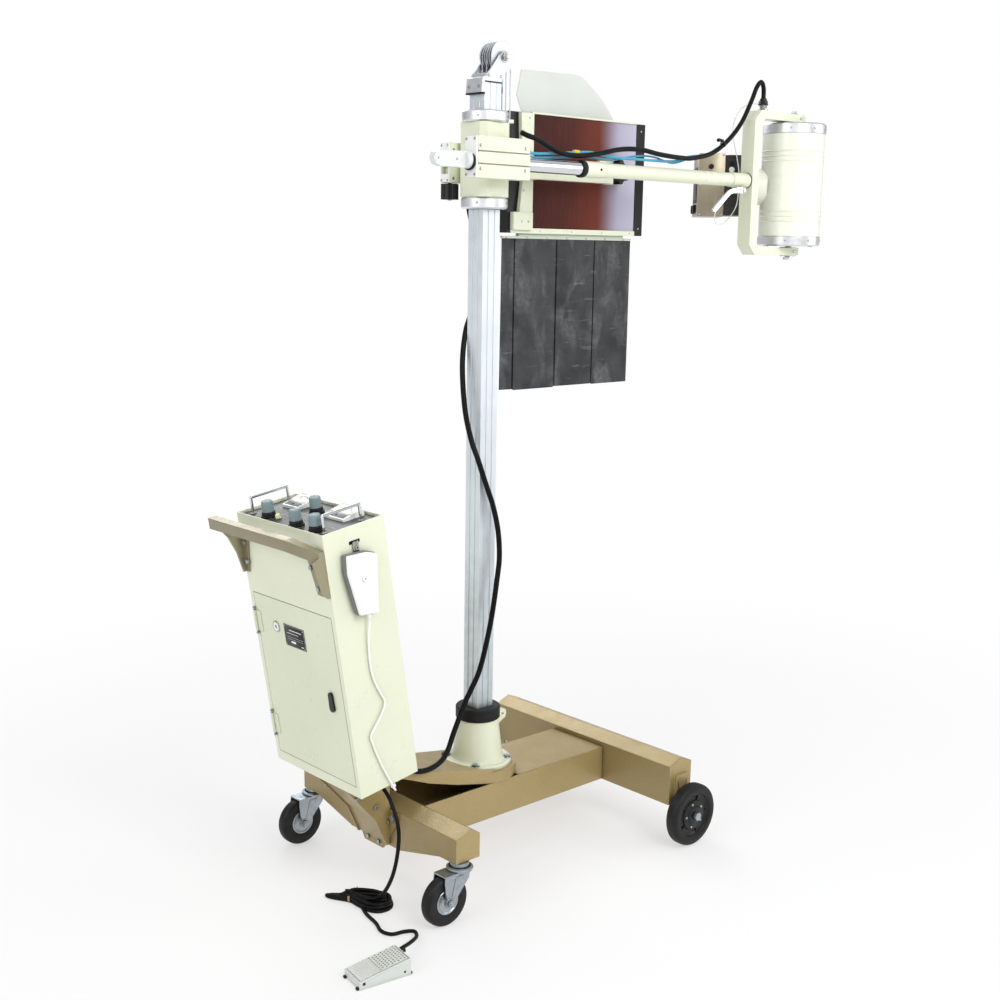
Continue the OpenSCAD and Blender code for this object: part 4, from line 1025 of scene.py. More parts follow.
def apron_strip(name, *place):
    """Closed sheet about the strip's mid-surface, thinner at its rim."""
    grid = strip_grid(name, *place)
    part = bmesh.new()
    rows, columns = len(grid) - 1, len(grid[0]) - 1
    layers = []
    for side in (-1, 1):
        layer = []
        for j, row in enumerate(grid):
            verts = []
            for i, point in enumerate(row):
                thin = 0.55 if i in (0, columns) or j in (0, rows) else 1.0
                verts.append(part.verts.new(
                    point + Vector((0, side * APRON_THICK / 2 * thin, 0))))
            layer.append(verts)
        layers.append(layer)
    for index, layer in enumerate(layers):
        for j in range(rows):
            for i in range(columns):
                face = [layer[j][i], layer[j][i + 1], layer[j + 1][i + 1], layer[j + 1][i]]
                part.faces.new(face if index else face[::-1])
    one, two = layers
    rim = ([(0, i) for i in range(columns + 1)] + [(j, columns) for j in range(1, rows + 1)]
           + [(rows, i) for i in range(columns - 1, -1, -1)]
           + [(j, 0) for j in range(rows - 1, 0, -1)])
    for (j0, i0), (j1, i1) in zip(rim, rim[1:] + rim[:1]):
        part.faces.new((one[j0][i0], one[j1][i1], two[j1][i1], two[j0][i0]))
    piece = Piece(name, "lead_rubber_sheet")
    piece.add(part)
    piece.done("lead_rubber", ride="screen", replaces="lead_apron", smooth_deg=60)


APRON_STRIPS = (    # suffix, x start, x end, y, rise of the lower edge, seed
    ("a", 172.5, 216.4, 122.3, 3, 1.0), ("b", 221.0, 374.6, 122.6, 0, 2.0),
    ("c", 379.2, 524.4, 122.2, 2.4, 3.0), ("d", 529.0, 675.5, 122.5, 0.4, 4.0),
    ("ab", 204, 234, 127.6, 2, 5.0), ("bc", 361, 392, 127.4, 2, 6.0),
    ("cd", 511, 542, 127.6, 2, 7.0),
)
for suffix, x0, x1, y, rise, seed in APRON_STRIPS:
    apron_strip("apron_strip_" + suffix, x0, x1, y, APRON_BOTTOM + rise, seed)
piece = Piece("apron_clamp_strip", "pale_green_strip", "zinc_plate")
piece.box(230, 640, 118.2, 131, 1621, 1629.5, bevel=1.2)
piece.box(173, 675, 119.2, 130.4, 1615.5, 1622.0, bevel=0.8)
piece.screws([(x, 119.2, 1618.6) for x in range(186, 643, 76)], (0, -1, 0), 2.6, 1.3, 1)
piece.done("switch_enamel", ride="screen", replaces="lead_apron")

# ---------------------------------------------------------------- wheels
CASTER_X, CASTER_Y, CASTER_Z = -370, 303, 63    # axle centre; y is mirrored
STEM_X = -322                                   # upright swivel axis of the fork
# half profiles: (radius, distance along the axle)
CASTER_TYRE = [(31.5, -12.5), (34, -13.6), (40, -15.2), (50, -15.9), (55.5, -15.2),
               (56.4, -14.0), (57.6, -14.3), (60.6, -12.2), (62.3, -9.2), (62.9, -5)]
CASTER_HUB = [(5.1, -18.4), (11, -18.4), (11.6, -17.8), (11.8, -14), (14, -12.2), (18, -11.4),
              (25, -11.8), (27.5, -12.8), (29, -14.4), (31.2, -14.6), (32.6, -13.4)]
REAR_TYRE = [(61, -16.2), (64, -17.6), (70, -18.0), (77, -17.6), (79.6, -16.6), (80.4, -15.4),
             (82, -15.2), (84.2, -13), (85.6, -9), (86, -4)]
REAR_DISC = [       # whole profile
    (8.2, -17.8), (22, -17.8), (24, -16.6), (24.6, -13.4), (58, -13.2), (60.4, -15.8),
    (62.4, -16.4), (62.4, 16.4), (60.4, 15.8), (58.4, 12.4), (55, 11.2), (52, 8.6), (46, 8.0),
    (42.6, 9.0), (40.8, 12.8), (38, 13.8), (28, 13.9), (26, 14.6), (24.4, 17.2), (22.6, 17.9),
    (8.2, 17.9)]
for name, side in (("left", 1), ("right", -1)):
    axle = along_y(CASTER_X, side * CASTER_Y, CASTER_Z)
    cad_wheel = "caster_wheel_" + name
    piece = Piece("caster_tyre_" + name, "tyre_rubber")
    piece.lathe(CASTER_TYRE + [(63, 0)] + mirrored(CASTER_TYRE)[len(CASTER_TYRE):], axle, 96)
    piece.done("black_tyre", ride="roller_" + name, replaces=cad_wheel)
    piece = Piece("caster_hub_" + name, "wheel_hub")
    piece.lathe(mirrored(CASTER_HUB), axle, 72)
    for k in range(5):
        for face in (-1, 1):
            piece.lathe([(0, -1.2), (2.5, -1.2), (2.5, 0), (1.9, 0.6), (0, 0.8)],
                        axle @ move(*polar(20.5, radians(72 * k + 10)), face * 11.6)
                        @ rot(pi if face < 0 else 0, "X"), 16)
    piece.done("zinc_steel", ride="roller_" + name, replaces=cad_wheel)

    # bearing race cover, grease seal and axle end caps on the fork
    piece = Piece("caster_race_" + name, "zinc_plate", "black_rubber")
    stem = move(STEM_X, side * CASTER_Y, 0)
    piece.lathe([(26, 131.2), (31.2, 131.4), (32.6, 132.4), (33.2, 134.2), (32.6, 136.2),
                 (30.4, 137.6), (26.4, 138.6), (25.8, 138.6)], stem, 64)
    piece.lathe([(21, 138.2), (26.2, 138.2), (26.8, 139.2), (26.2, 140.2), (21, 140.2)],
                stem, 48, 1)
    for face in (-1, 1):
        piece.lathe([(0, -0.8), (5.4, -0.8), (5.4, 1.2), (4.4, 2.4), (0, 2.8)],
                    along_y(CASTER_X, side * CASTER_Y + face * 28.2, CASTER_Z, face), 24)
        piece.lathe([(8.0, -0.4), (12.2, -0.4), (12.2, 0.7), (11.6, 1.3), (8.0, 1.3)],
                    along_y(CASTER_X, side * CASTER_Y + face * 22.1, CASTER_Z, face), 32)
    # pressed rib down each leg
    for face in (-1, 1):
        piece.prism([(-6, 124), (-30, 124), (-42, 78), (-36, 78)], face * 21.6, face * 23.2,
                    bevel=0.7, at=stem)
    piece.done("zinc_steel", ride="fork_" + name)

    axle = along_y(434, side * 390, 86, side)
    piece = Piece("rear_tyre_" + name, "tyre_rubber")
    piece.lathe(mirrored(REAR_TYRE), axle, 128)
    piece.done("black_tyre", ride="wheel_" + name, replaces="rear_wheel_" + name)
    piece = Piece("rear_wheel_disc_" + name, "black_moulded", "wheel_hub")
    piece.lathe(REAR_DISC, axle, 96)
    for k in range(5):
        angle = radians(72 * k)
        piece.box(-9, 9, -1.6, 1.6, 8.1, 12.4, bevel=0.8,
                  at=axle @ rot(angle) @ move(50.5, 0, 0))
        piece.screw((*polar(33, angle + 0.6), 13.9), (0, 0, 1), 3.6, 2.2, 1, axle, "hexhead")
    piece.done("black_tyre", ride="wheel_" + name, replaces="rear_wheel_" + name)

# ---------------------------------------------------------------- control cabinet
PANEL_Z = 648                           # panel face, in the cabinet's frame
DIALS = ((32, 85, 0.5), (27, -37, -0.7), (112, 4, 0.2), (28, -114, 1.1))    # x, y, turn


def fluted(radius, z, angle):
    return radius * (1.0 + (0.028 * cos(22 * angle) if 663.5 < z < 685.5 else 0.0))


for number, (x, y, turn) in enumerate(DIALS, 1):
    at = CABINET @ move(x, y, 0) @ rot(turn)
    piece = Piece("dial_%d_grip" % number, "knob_grey", "black_moulded", "meter_white")
    piece.lathe([(0, 646), (3, 646), (3, 648.4), (16.5, 648.5), (18.6, 649.0), (19.2, 650.4),
                 (18.8, 652.2), (16.6, 653.2), (16.2, 656), (15.9, 661.2), (15.2, 662.4),
                 (0, 662.4)], at, 64, 1)
    piece.lathe([(0, 661.8), (14.0, 661.8), (14.2, 663.0), (14.1, 664.4), (13.9, 668),
                 (13.7, 676), (13.5, 684), (13.2, 686.2), (12.2, 687.6), (10.8, 688.0),
                 (9.8, 687.4), (0, 687.0)], at, 132, 0, fluted)
    piece.boxes([(13.4, 18.4, -0.7, 0.7, 652.4, 653.3), (14.6, 16.6, -0.7, 0.7, 653.4, 661.5),
                 (2.0, 11.6, -0.55, 0.55, 687.0, 687.7)], bevel=0.2, at=at, mat=2)
    piece.done("knob_grey", ride="dial_%d" % number, replaces="knob_%d" % number)

piece = Piece("panel_scales", "meter_white")
for x, y, turn in DIALS:
    at = CABINET @ move(x, y, PANEL_Z)
    for k in range(-5, 6):
        length = 3.4 if k % 5 == 0 else 2.2
        piece.box(21.4, 21.4 + length, -0.35, 0.35, -0.1, 0.22,
                  at=at @ rot(radians(30 * k) + pi))
    piece.lathe([(20.6, -0.1), (20.9, -0.1), (20.9, 0.16), (20.6, 0.16)], at, 64)
# ruled lines that divide the panel
piece.boxes([(x0, x0 + 0.5, y0, y1, 647.9, 648.2)
             for x0, y0, y1 in ((92, -130, 136), (60, 20, 130), (60, -140, -70))], at=CABINET)
piece.done("meter_white", ride="base")

piece = Piece("panel_screws_and_lamp", "nickel_fitting", "lamp_lens", "amber_lens")
piece.screws([(x, y, PANEL_Z) for x, middle in ((9, -78), (162, 0)) for y in (-166, middle, 166)],
             (0, 0, 1), 2.8, 1.2, at=CABINET)
at = CABINET @ move(34, 50, 0)
piece.lathe([(0, 648), (8.4, 648), (8.8, 649.2), (8.2, 651.4), (6.6, 652.0), (0, 652)], at, 32)
piece.lathe([(0, 650), (6.4, 650), (6.4, 654), (5.9, 657.5), (4.6, 660.2), (2.6, 661.8),
             (0, 662.3)], at, 32, 1)
at = CABINET @ move(56, -52, 0)
piece.lathe([(0, 648), (4.6, 648), (4.8, 649.4), (3.8, 650.2), (0, 650.2)], at, 24)
piece.lathe([(0, 649.6), (3.2, 649.8), (2.7, 652.2), (0, 653.0)], at, 24, 2)
# feet of the two guard handles
for side in (-1, 1):
    for x in (27, 130):
        piece.lathe([(3.4, 648), (7.6, 648), (7.8, 649.4), (6.2, 651.2), (4.2, 652.6),
                     (3.4, 652.8)], CABINET @ move(x, side * 146, 0), 32)
piece.done("bright_metal", ride="base")

# meter windows: paper scale with ticks, needle and zero screw inside a raised frame
METERS = ((62, 128, 24), (-120, -40, 30))           # y start, y end, needle angle in degrees
for number, (y0, y1, needle) in enumerate(METERS, 1):
    half = (y1 - y0) / 2
    # x up the sloping face, z out of it
    at = CABINET @ move(98, (y0 + y1) / 2, 655) @ rot(-atan2(11, 62), "Y")
    piece = Piece("meter_window_%d" % number, "scale_card", "dial_ink", "needle_red",
                  "meter_white", "grey_moulded")
    piece.box(24, 59, -half + 5, half - 5, -0.3, 0.7, bevel=0.3, at=at)
    outer, inner = half - 3.4, half - 5.4
    piece.boxes([(22.4, 24.4, -outer, outer, -0.3, 2.2), (58.6, 60.6, -outer, outer, -0.3, 2.2),
                 (22.4, 60.6, -outer, -inner, -0.3, 2.2), (22.4, 60.6, inner, outer, -0.3, 2.2)],
                bevel=0.6, at=at, mat=3)
    sweep = half * 0.92
    pivot = at @ move(53.5 - sweep + 2, 0, 0)
    for k in range(-8, 9):
        length = 4.2 if k % 4 == 0 else 2.4
        piece.box(sweep - 4.5 - length, sweep - 4.5, -0.28, 0.28, 0.6, 0.95,
                  at=pivot @ rot(radians(k * 5.4)), mat=1)
    piece.box(sweep * 0.36, sweep - 5.5, -0.32, 0.32, 1.0, 1.4,
              at=pivot @ rot(radians(needle)), mat=2)
    piece.box(4, 20, -half + 4, half - 4, -0.3, 0.5, bevel=0.3, at=at, mat=4)
    piece.screw((12, 0, 0.5), (0, 0, 1), 3.0, 1.0, 1, at)
    piece.done("meter_white", ride="base")

piece = Piece("door_cam_lock", "nickel_fitting", "white_moulded", "dial_ink")
at = CABINET @ move(0, 79, 382) @ rot(radians(-90), "Y")
piece.lathe([(0, -1), (14, -1), (14.4, 0.6), (13.8, 1.8), (12.2, 2.4), (11.4, 1.6), (0, 1.6)],
            at)
piece.lathe([(0, 0.8), (11.0, 0.8), (11.0, 1.9), (10.0, 2.3), (5.4, 2.3), (5.0, 1.4),
             (0, 1.4)], at, 40, 1)
piece.box(-3.6, 3.6, -0.8, 0.8, 1.0, 1.75, at=at @ rot(0.5), mat=2)
piece.done("bright_metal", ride="door")

# plate with a raised border and plain marks; rows are y and z spans
piece = Piece("door_blank_plate", "blank_plate", "nickel_fitting", "scale_card")
piece.box(-1.0, 0.4, -38, 46, 343, 398, bevel=0.35, at=CABINET)
piece.boxes([(-1.35, -0.9, *span) for span in (
    (-37, 45, 396.2, 397.2), (-37, 45, 343.8, 344.8), (-37.2, -36.2, 344, 397),
    (44.2, 45.2, 344, 397))], at=CABINET, mat=1)
piece.boxes([(-1.25, -0.9, *span) for span in (
    (-26, 24, 384.4, 386.2), (-12, 34, 376.8, 377.8), (2, 20, 353.5, 358.5),
    (-30, -20, 350, 352), (-30, 34, 367.6, 368.0), (-30, 34, 362.4, 362.8))], at=CABINET, mat=2)
piece.screws([(-1.0, y, z) for y in (-33, 41) for z in (348, 393)], (-1, 0, 0), 1.7, 0.8, 1,
             at=CABINET)
piece.done("panel_grey", ride="door")

# handset: grey back shell, slightly smaller white cover, steel hook
HANDSET = [(40, 599), (96, 593), (124, 582), (106, 441), (53, 451), (36, 556)]     # x, z
middle_x, middle_z = (sum(values) / 6 for values in zip(*HANDSET))
cover = [(x + (middle_x - x) * 1.2 / 60, z + (middle_z - z) * 1.2 / 90) for x, z in HANDSET]
piece = Piece("handset_shell", "grey_moulded", "white_moulded", "nickel_fitting", "dial_ink")
piece.prism(HANDSET, -179.6, -193.5, bevel=2.4, at=CABINET, segments=3)
piece.prism(cover, -192.8, -203.4, bevel=4.2, at=CABINET, mat=1, segments=4)
piece.boss((78, -203.1, 535), (0, -1, 0), [(8.6, 0), (8.8, 0.9), (7.9, 1.3), (7.6, 0.6),
                                           (0, 0.6)], 32, 1, CABINET)
piece.box(75, 91, -179.8, -177.6, 586, 618, bevel=0.6, at=CABINET, mat=2)
piece.box(75, 91, -179.6, -172.6, 613.8, 617.6, bevel=0.6, at=CABINET, mat=2)
piece.lathe([(2.6, -1.2), (5.2, -1.2), (5.2, 1.2), (2.6, 1.2)],
            CABINET @ frame_at((84, -181.4, 603), (0, -1, 0)), 24, 2)
piece.lathe([(11.4, -0.2), (12.2, 0.25), (13.0, -0.2)],
            CABINET @ frame_at((78, -203.25, 535), (0, -1, 0)), 48, 1)
piece.boss((84, -191, 446), (0, 0, -1), [(5.6, 0), (5.4, 6), (4.2, 14), (3.4, 15), (0, 15)],
           24, 1, CABINET)
piece.done("handset_white", ride="hand_switch", replaces="handset")
piece = Piece("exposure_button_mark", "dial_ink")
piece.lathe([(0, -0.2), (1.6, -0.2), (1.5, 0.35), (0, 0.45)],
            CABINET @ frame_at((78, -206.5, 535), (0, -1, 0)), 16)
piece.done("knob_grey", ride="button")

piece = Piece("handset_cord", "white_cord")
piece.tube([CABINET @ Vector(point) for point in (
    (84, -191, 440), (83, -190, 424), (78, -184, 384), (75, -180, 324), (79, -180, 279),
    (92, -180.5, 240), (100, -181, 214), (82, -181, 184), (50, -180, 150), (50, -180, 128),
    (64, -180, 71), (82, -181, 18), (92, -182, -10), (97, -176, -16), (98, -158, -9),
    (98, -148, -2))], 2.7, 12, 6)
piece.box(88, 100, -178.5, -173, -9, -1, bevel=1.2, at=CABINET)
piece.done("handset_white", blend=("hand_switch", "base", CABINET @ Vector((84, -190, 430)),
                                   CABINET @ Vector((76, -181, 330))))

# ---------------------------------------------------------------- column head and carriage
piece = Piece("column_trim", "black_rubber", "nickel_fitting", "cast_aluminium")
# black frame round the column top: painted shadow of the gap under the pulley bracket
piece.boxes([(*span, 1982.6, 1985.6) for span in (
    (-28.3, 28.3, -29.4, -27.2), (-28.3, 28.3, 27.2, 29.4), (27.2, 28.6, -29.4, 29.4),
    (-28.6, -27.2, -29.4, 29.4))], bevel=0.5)
# black strip under the clip on the -X face: painted shadow
piece.box(-39.8, -27.2, -29.8, 29.8, 1954.6, 1958.4, bevel=0.8)
piece.box(27.4, 33.5, -26, -10, 1960, 1976, bevel=1.6)
piece.screw((33.4, -18, 1968), (1, 0, 0), 3.4, 1.4, 1)
piece.screws([(-38.1, y, 1972) for y in (-18, 18)], (-1, 0, 0.09), 4.2, 1.8, 1)
for side in (-1, 1):
    piece.boss((PULLEY_X, side * 36, PULLEY_Z), (0, side, 0),
               [(6.4, 0), (6.4, 2.2), (5.2, 3.6), (0, 4.2)], 28, 1)
    piece.lathe([(9.6, -0.6), (13.4, -0.6), (13.4, 0.9), (12.8, 1.4), (9.6, 1.4)],
                frame_at((PULLEY_X, side * 29, PULLEY_Z), (0, side, 0)), 40, 1)
    piece.screws([(x, side * 29, 1999) for x in (-16, 24)], (0, side, 0), 3.6, 1.6, 1)
piece.done("black_plastic", ride="column")

piece = Piece("carriage_screws", "nickel_fitting", "black_rubber")
for x, z in ((-114, 1825.7), (31, 1825.9), (-114, 1773), (31, 1773.6)):
    piece.screw((x, -114, z), (0, -1, 0), 4.2, 1.5)
    if x > 0:
        piece.screw((x, 84, z - 6), (0, 1, 0), 3.8, 1.5)
piece.screws([(-127, y, z) for y in (-107, -77) for z in (1759, 1841)], (-1, 0, 0), 3.6, 1.6)
piece.screws([(-73, y, z) for y in (55.5, 78.5) for z in (1752, 1836)], (-1, 0, 0), 2.9, 1.6)
# clamp screws and wipers of the two guide rings
for z in (1698, 1904):
    for angle in map(radians, (-150, -60, 30, 120)):
        piece.screw((*polar(58, angle), z), (*polar(1, angle), 0), 3.4, 1.0, kind="socket")
for z in (1683.0, 1917.2):
    piece.boxes([(*span, z, z + 1.8) for span in (
        (-31, 31, -31, -27.9), (-31, 31, 27.9, 31), (27.9, 31, -31, 31),
        (-31, -27.9, -31, 31))], bevel=0.5, mat=1)
piece.done("bright_metal", ride="carriage")

# ---------------------------------------------------------------- arm, yoke and head
piece = Piece("arm_rings", "black_rubber", "nickel_fitting")
piece.lathe([(17.2, -135.5), (20.6, -135.5), (21.4, -134.5), (21.6, -131), (21.0, -128.4),
             (17.2, -128.0)], ARM_AXIS, 56)
piece.lathe([(17.2, 239), (20.4, 239), (21.6, 240.5), (21.8, 245), (21.4, 251), (20.6, 253.4),
             (17.2, 253.4)], ARM_AXIS, 56)
piece.lathe([(12.4, 921.4), (20.6, 921.4), (21.2, 922.2), (21.2, 924.4), (20.6, 925.0),
             (12.4, 925.0)], ARM_AXIS, 56)
piece.screws([(x, -101, 1792) for x in (-232, -176)], (0, -1, 0), 2.8, 1.0, 1)
piece.screw((300, -112.4, ARM_Z), (0, -1, 0), 3.2, 1.6, kind="socket")
piece.boss((888, -80, 1761), (0, 1, 0), [(7.2, 0), (7.2, 1.2), (6.0, 2.2), (0, 2.6)], 6, 1)
piece.done("black_rubber", ride="arm")
piece = Piece("lever_hub", "chrome_plate")
piece.boss((888, -116, 1761), (0, -1, 0), [(7.8, 0), (8.0, 1.0), (6.2, 2.4), (3.0, 3.0),
                                           (0, 3.1)])
piece.lathe([(0, -3.4), (4.0, -3.4), (5.0, 0), (4.0, 3.4), (0, 3.4)],
            frame_at((757, -113, 1703), (0, -1, 0)), 20)
piece.done("bright_metal", ride="lever")


def hex_radius(radius, angle):
    """Radius of a hexagon at angle, eased inwards by 7 %."""
    return radius / cos(angle % (pi / 3) - pi / 6) * 0.93


piece = Piece("cable_gland_set", "nickel_fitting", "black_moulded")
at = move(985, ARM_Y, 0)
piece.lathe([(7.2, 1986), (14.2, 1986), (14.2, 1986.8), (13.4, 1986.8), (13.4, 1992.6),
             (12.8, 1993.2), (7.2, 1993.2)], at, 60, 0,
            lambda r, z, angle: hex_radius(r, angle) if 12 < r < 13.6 and z > 1986.5 else r)
piece.lathe([(7.2, 1993), (10.8, 1993), (11.0, 1994), (10.4, 1995), (11.0, 1996),
             (10.4, 1997), (11.0, 1998), (10.4, 1999), (11.0, 2000), (10.4, 2001),
             (10.8, 2002.4), (7.2, 2002.4)], at)
piece.lathe([(7.2, 2002.2), (13.6, 2002.2), (14.0, 2003.0), (14.0, 2006.0), (13.4, 2006.8),
             (7.2, 2006.8)], at, 48, 1)
piece.lathe([(7.2, 2006.6), (12.4, 2006.6), (12.4, 2013.4), (11.6, 2014.4), (7.2, 2014.4)],
            at, 60, 1, lambda r, z, angle: hex_radius(r, angle) if r > 11 else r)
piece.lathe([(6.6, 2014.2), (10.6, 2014.2), (10.2, 2018), (9.0, 2021), (7.6, 2022),
             (6.6, 2022)], at, 48, 1)
piece.done("bright_metal", ride="yoke_arm", replaces="cable_gland")
piece = Piece("yoke_trim", "black_rubber", "nickel_fitting")
for z, side, side_z in ((1988, 1, 1975), (1580, -1, 1593)):
    for angle in map(radians, (45, 135, 225, 315)):
        piece.screw((*polar(18.5, angle, HEAD_X, ARM_Y), z), (0, 0, side), 2.6, 1.3, 1)
    piece.screw((1140, -116, side_z), (0, -1, 0), 4.4, 2.0, 1)
piece.lathe([(13.2, 0), (19.6, 0), (20.0, 0.8), (19.6, 1.4), (13.2, 1.4)],
            frame_at((953, ARM_Y, ARM_Z), (1, 0, 0)), 48, 1)
piece.done("bright_metal", ride="yoke_arm")

piece = Piece("head_trim", "nickel_fitting", "cast_aluminium")
for z, side in ((1960, 1), (1609, -1)):
    for angle in map(radians, range(30, 390, 60)):
        piece.screw((*polar(76, angle, HEAD_X, ARM_Y), z), (0, 0, side), 4.0, 1.7,
                    kind="socket")
for z in (1625, 1944):
    for angle in map(radians, (-150, -105, -60, -10, 60)):
        piece.screw((*polar(92, angle, HEAD_X, ARM_Y), z), (*polar(1, angle), 0), 2.6, 1.0)
# seam bead between each cap and the housing
for z in (1636.4, 1931.6):
    piece.lathe([(89.6, -1.2), (91.2, -0.9), (91.8, 0), (91.2, 0.9), (89.6, 1.2)],
                move(HEAD_X, ARM_Y, z), 128, 1)
piece.done("cast_alloy", ride="head")

piece = Piece("limiter_case", "limiter_brown", "limiter_neck", "nickel_fitting",
              "white_moulded", "black_rubber", "blank_plate")
piece.box(140.5, 207, -69.5, 69.5, 1694.5, 1866.5, bevel=2.0, at=PORT, mat=1)
piece.box(206, 283.5, -74.8, 74.8, 1690.4, 1870.6, bevel=1.6, at=PORT)
for x in (208.2 + 4, 280.5 - 3):
    for z in (1696, 1780, 1865):
        for side in (1, -1):
            piece.screw((x, side * 74.8, z), (0, side, 0), 2.4, 0.9, 2, PORT)
# window, frame and two knobs on the face that looks out of the port
piece.box(283.0, 284.6, -52, 52, 1730, 1832, bevel=0.7, at=PORT, mat=4)
piece.box(284.0, 285.0, -42, 42, 1740, 1822, bevel=0.4, at=PORT, mat=5)
for y in (-26, 26):
    piece.boss((283.2, y, 1712), (1, 0, 0), [(12, 0), (12.6, 1.2), (12, 8), (10.6, 9.2),
                                             (0, 9.6)], 40, 4, PORT,
               reshape=lambda r, z, angle: r * (1 + 0.03 * cos(16 * angle)))
# bosses, knob and pin on the port frame's +Y side: position, profile, segments, material
for pos, profile, segments, mat in (
        ((187, 69.4, 1825), [(8.2, 0), (8.2, 5), (7.2, 7.2), (5.0, 8.2), (0, 8.4)], 32, 3),
        ((187, 69.4, 1842), [(6.2, 0), (6.2, 4), (5.4, 5), (0, 5.2)], 24, 4),
        ((216, 74.6, 1724), [(3.6, 0), (3.6, 6), (2.8, 7.4), (0, 7.8)], 24, 3),
        ((247, 74.6, 1833), [(7.4, 0), (7.6, 2.6), (6.6, 3.6), (0, 3.8)], 32, 4)):
    piece.boss(pos, (0, 1, 0), profile, segments, mat, PORT)
piece.box(150, 196, -50, 50, 1866, 1868.4, bevel=0.8, at=PORT, mat=2)
piece.done("limiter_brown", ride="head", replaces="beam_limiter")

# ---------------------------------------------------------------- screen details
piece = Piece("screen_trim", "nickel_fitting", "black_rubber", "cream_enamel")
piece.screws([(222, 98, 1660), (246, 98, 1660), (228, 100, 1740), (240, 100, 1880),
              (246, 100, 1925)], (0, -1, 0), 2.8, 1.2)
piece.screws([(x, 108, 1636) for x in (300, 420, 540, 655)], (0, -1, 0), 2.0, 0.9)
for z in (1650, 1790, 1920):
    piece.screw((693, 110, z), (0, -1, 0), 3.0, 1.2)
    piece.screw((693, 140, z), (0, 1, 0), 3.0, 1.2)
piece.screws([(556, 84, 1775), (590, 84, 1775), (590, 84, 1822)], (0, -1, 0), 2.8, 1.2)
piece.done("bright_metal", ride="screen")
piece = Piece("chin_plate_studs", "nickel_fitting")
for x in (262, 380, 500, 580):
    piece.boss((x, 131.3, 1912), (0, 1, 0), [(4.6, 0), (4.8, 1.0), (3.8, 2.2), (0, 2.6)], 20)
piece.done("bright_metal", ride="screen")
piece = Piece("clamp_knob_cap", "nickel_fitting")
piece.boss((-56, 67, 1706), (0, 0, -1), [(5.4, 0), (5.4, 1.2), (4.4, 2.2), (0, 2.6)], 6)
piece.done("black_plastic", ride="bar_knob")
piece = Piece("screen_knob_cap", "nickel_fitting", "black_moulded")
piece.boss((562, 60, 1801), (0, -1, 0), [(7.0, 0), (7.0, 1.4), (6.0, 2.4), (0, 2.8)], 6)
piece.lathe([(8, 0), (20, 0), (22, 0.8), (20, 1.6), (8, 1.6)],
            frame_at((562, 60, 1801), (0, -1, 0)), 40, 1)
piece.done("black_plastic", ride="star_knob")

# ---------------------------------------------------------------- base and foot switch
piece = Piece("base_trim", "nickel_fitting", "zinc_plate", "black_rubber")
for angle in map(radians, (45, 135, 225, 315)):
    piece.lathe([(8.2, 246.0), (12.2, 246.0), (12.4, 247.0), (11.8, 247.8), (8.2, 247.8)],
                move(*polar(80, angle), 0), 32, 1)
# bolts of the V gusset and its lower corner
piece.screws([(-350, -62, 176), (-350, 62, 176), (-350, -22, 110), (-350, 22, 110)],
             (-1, 0, 0), 6.0, 5.0, 1, kind="hexhead")
for side in (-1, 1):
    piece.screws([(-448, side * 62, 262), (-392, side * 62, 226)], (0, side, 0), 6.5, 5.0, 1,
                 kind="hexhead")
piece.done("zinc_steel", ride="base")

TREADS = (  # x start, pitch, rows; y start, pitch, columns, limit; stud half x, half y, height; mat
    (48, 7.6, 9, -28, 8.0, 8, 29.5, 3.0, 2.6, 0.9, 1),
    (3, 3.9, 11, -29, 4.6, 14, 30, 1.6, 1.5, 0.7, 0),
)
piece = Piece("pedal_tread", "switch_enamel", "switch_tread_shadow")
tread = FOOT_SWITCH @ move(-60, 0, 22.5) @ rot(-atan2(20.1, 112), "Y")


def stud(x, y, half_x, half_y, height, mat):
    """Blunt diamond pyramid."""
    part = bmesh.new()
    base, top = ([part.verts.new(point) for point in (
        (x + half_x * scale, y, z), (x, y + half_y * scale, z),
        (x - half_x * scale, y, z), (x, y - half_y * scale, z))]
        for scale, z in ((1, -0.3), (0.5, height)))
    part.faces.new(top)
    part.faces.new(base[::-1])
    for k in range(4):
        j = (k + 1) % 4
        part.faces.new((base[k], base[j], top[j], top[k]))
    piece.add(part, tread, mat)


for x0, x_pitch, rows, y0, y_pitch, columns, limit, *shape in TREADS:
    for j in range(rows):
        for k in range(columns):
            y = y0 + y_pitch * k + (y_pitch / 2 if j % 2 else 0)
            if abs(y) < limit:
                stud(x0 + x_pitch * j, y, *shape)
piece.box(44.6, 46.0, -31.5, 31.5, -0.3, 0.5, bevel=0.3, at=tread)
piece.done("switch_enamel", ride="pedal")

# feet, side screws and cable boot
piece = Piece("foot_switch_fittings", "black_rubber", "dial_ink", "switch_enamel")
piece.boxes([(x0, x1, y0, y1, 0.1, 5.5) for x0, x1 in ((-74.5, -62), (52, 65))
             for y0, y1 in ((-34, -25), (25, 34))], bevel=1.2, at=FOOT_SWITCH)
for side in (-1, 1):
    piece.screw((-58, side * 36, 13), (0, side, 0), 3.4, 1.2, 1, FOOT_SWITCH)
    piece.screw((44, side * 36, 12), (0, side, 0), 2.6, 1.2, 1, FOOT_SWITCH)
piece.lathe([(0, -1), (8, -1), (7.6, 3), (6.2, 6), (5.8, 9), (5.4, 14), (0, 14)],
            FOOT_SWITCH @ frame_at((60, 18.5, 31), (1, 0, 0.05)), 28)
piece.done("switch_enamel", ride="base")

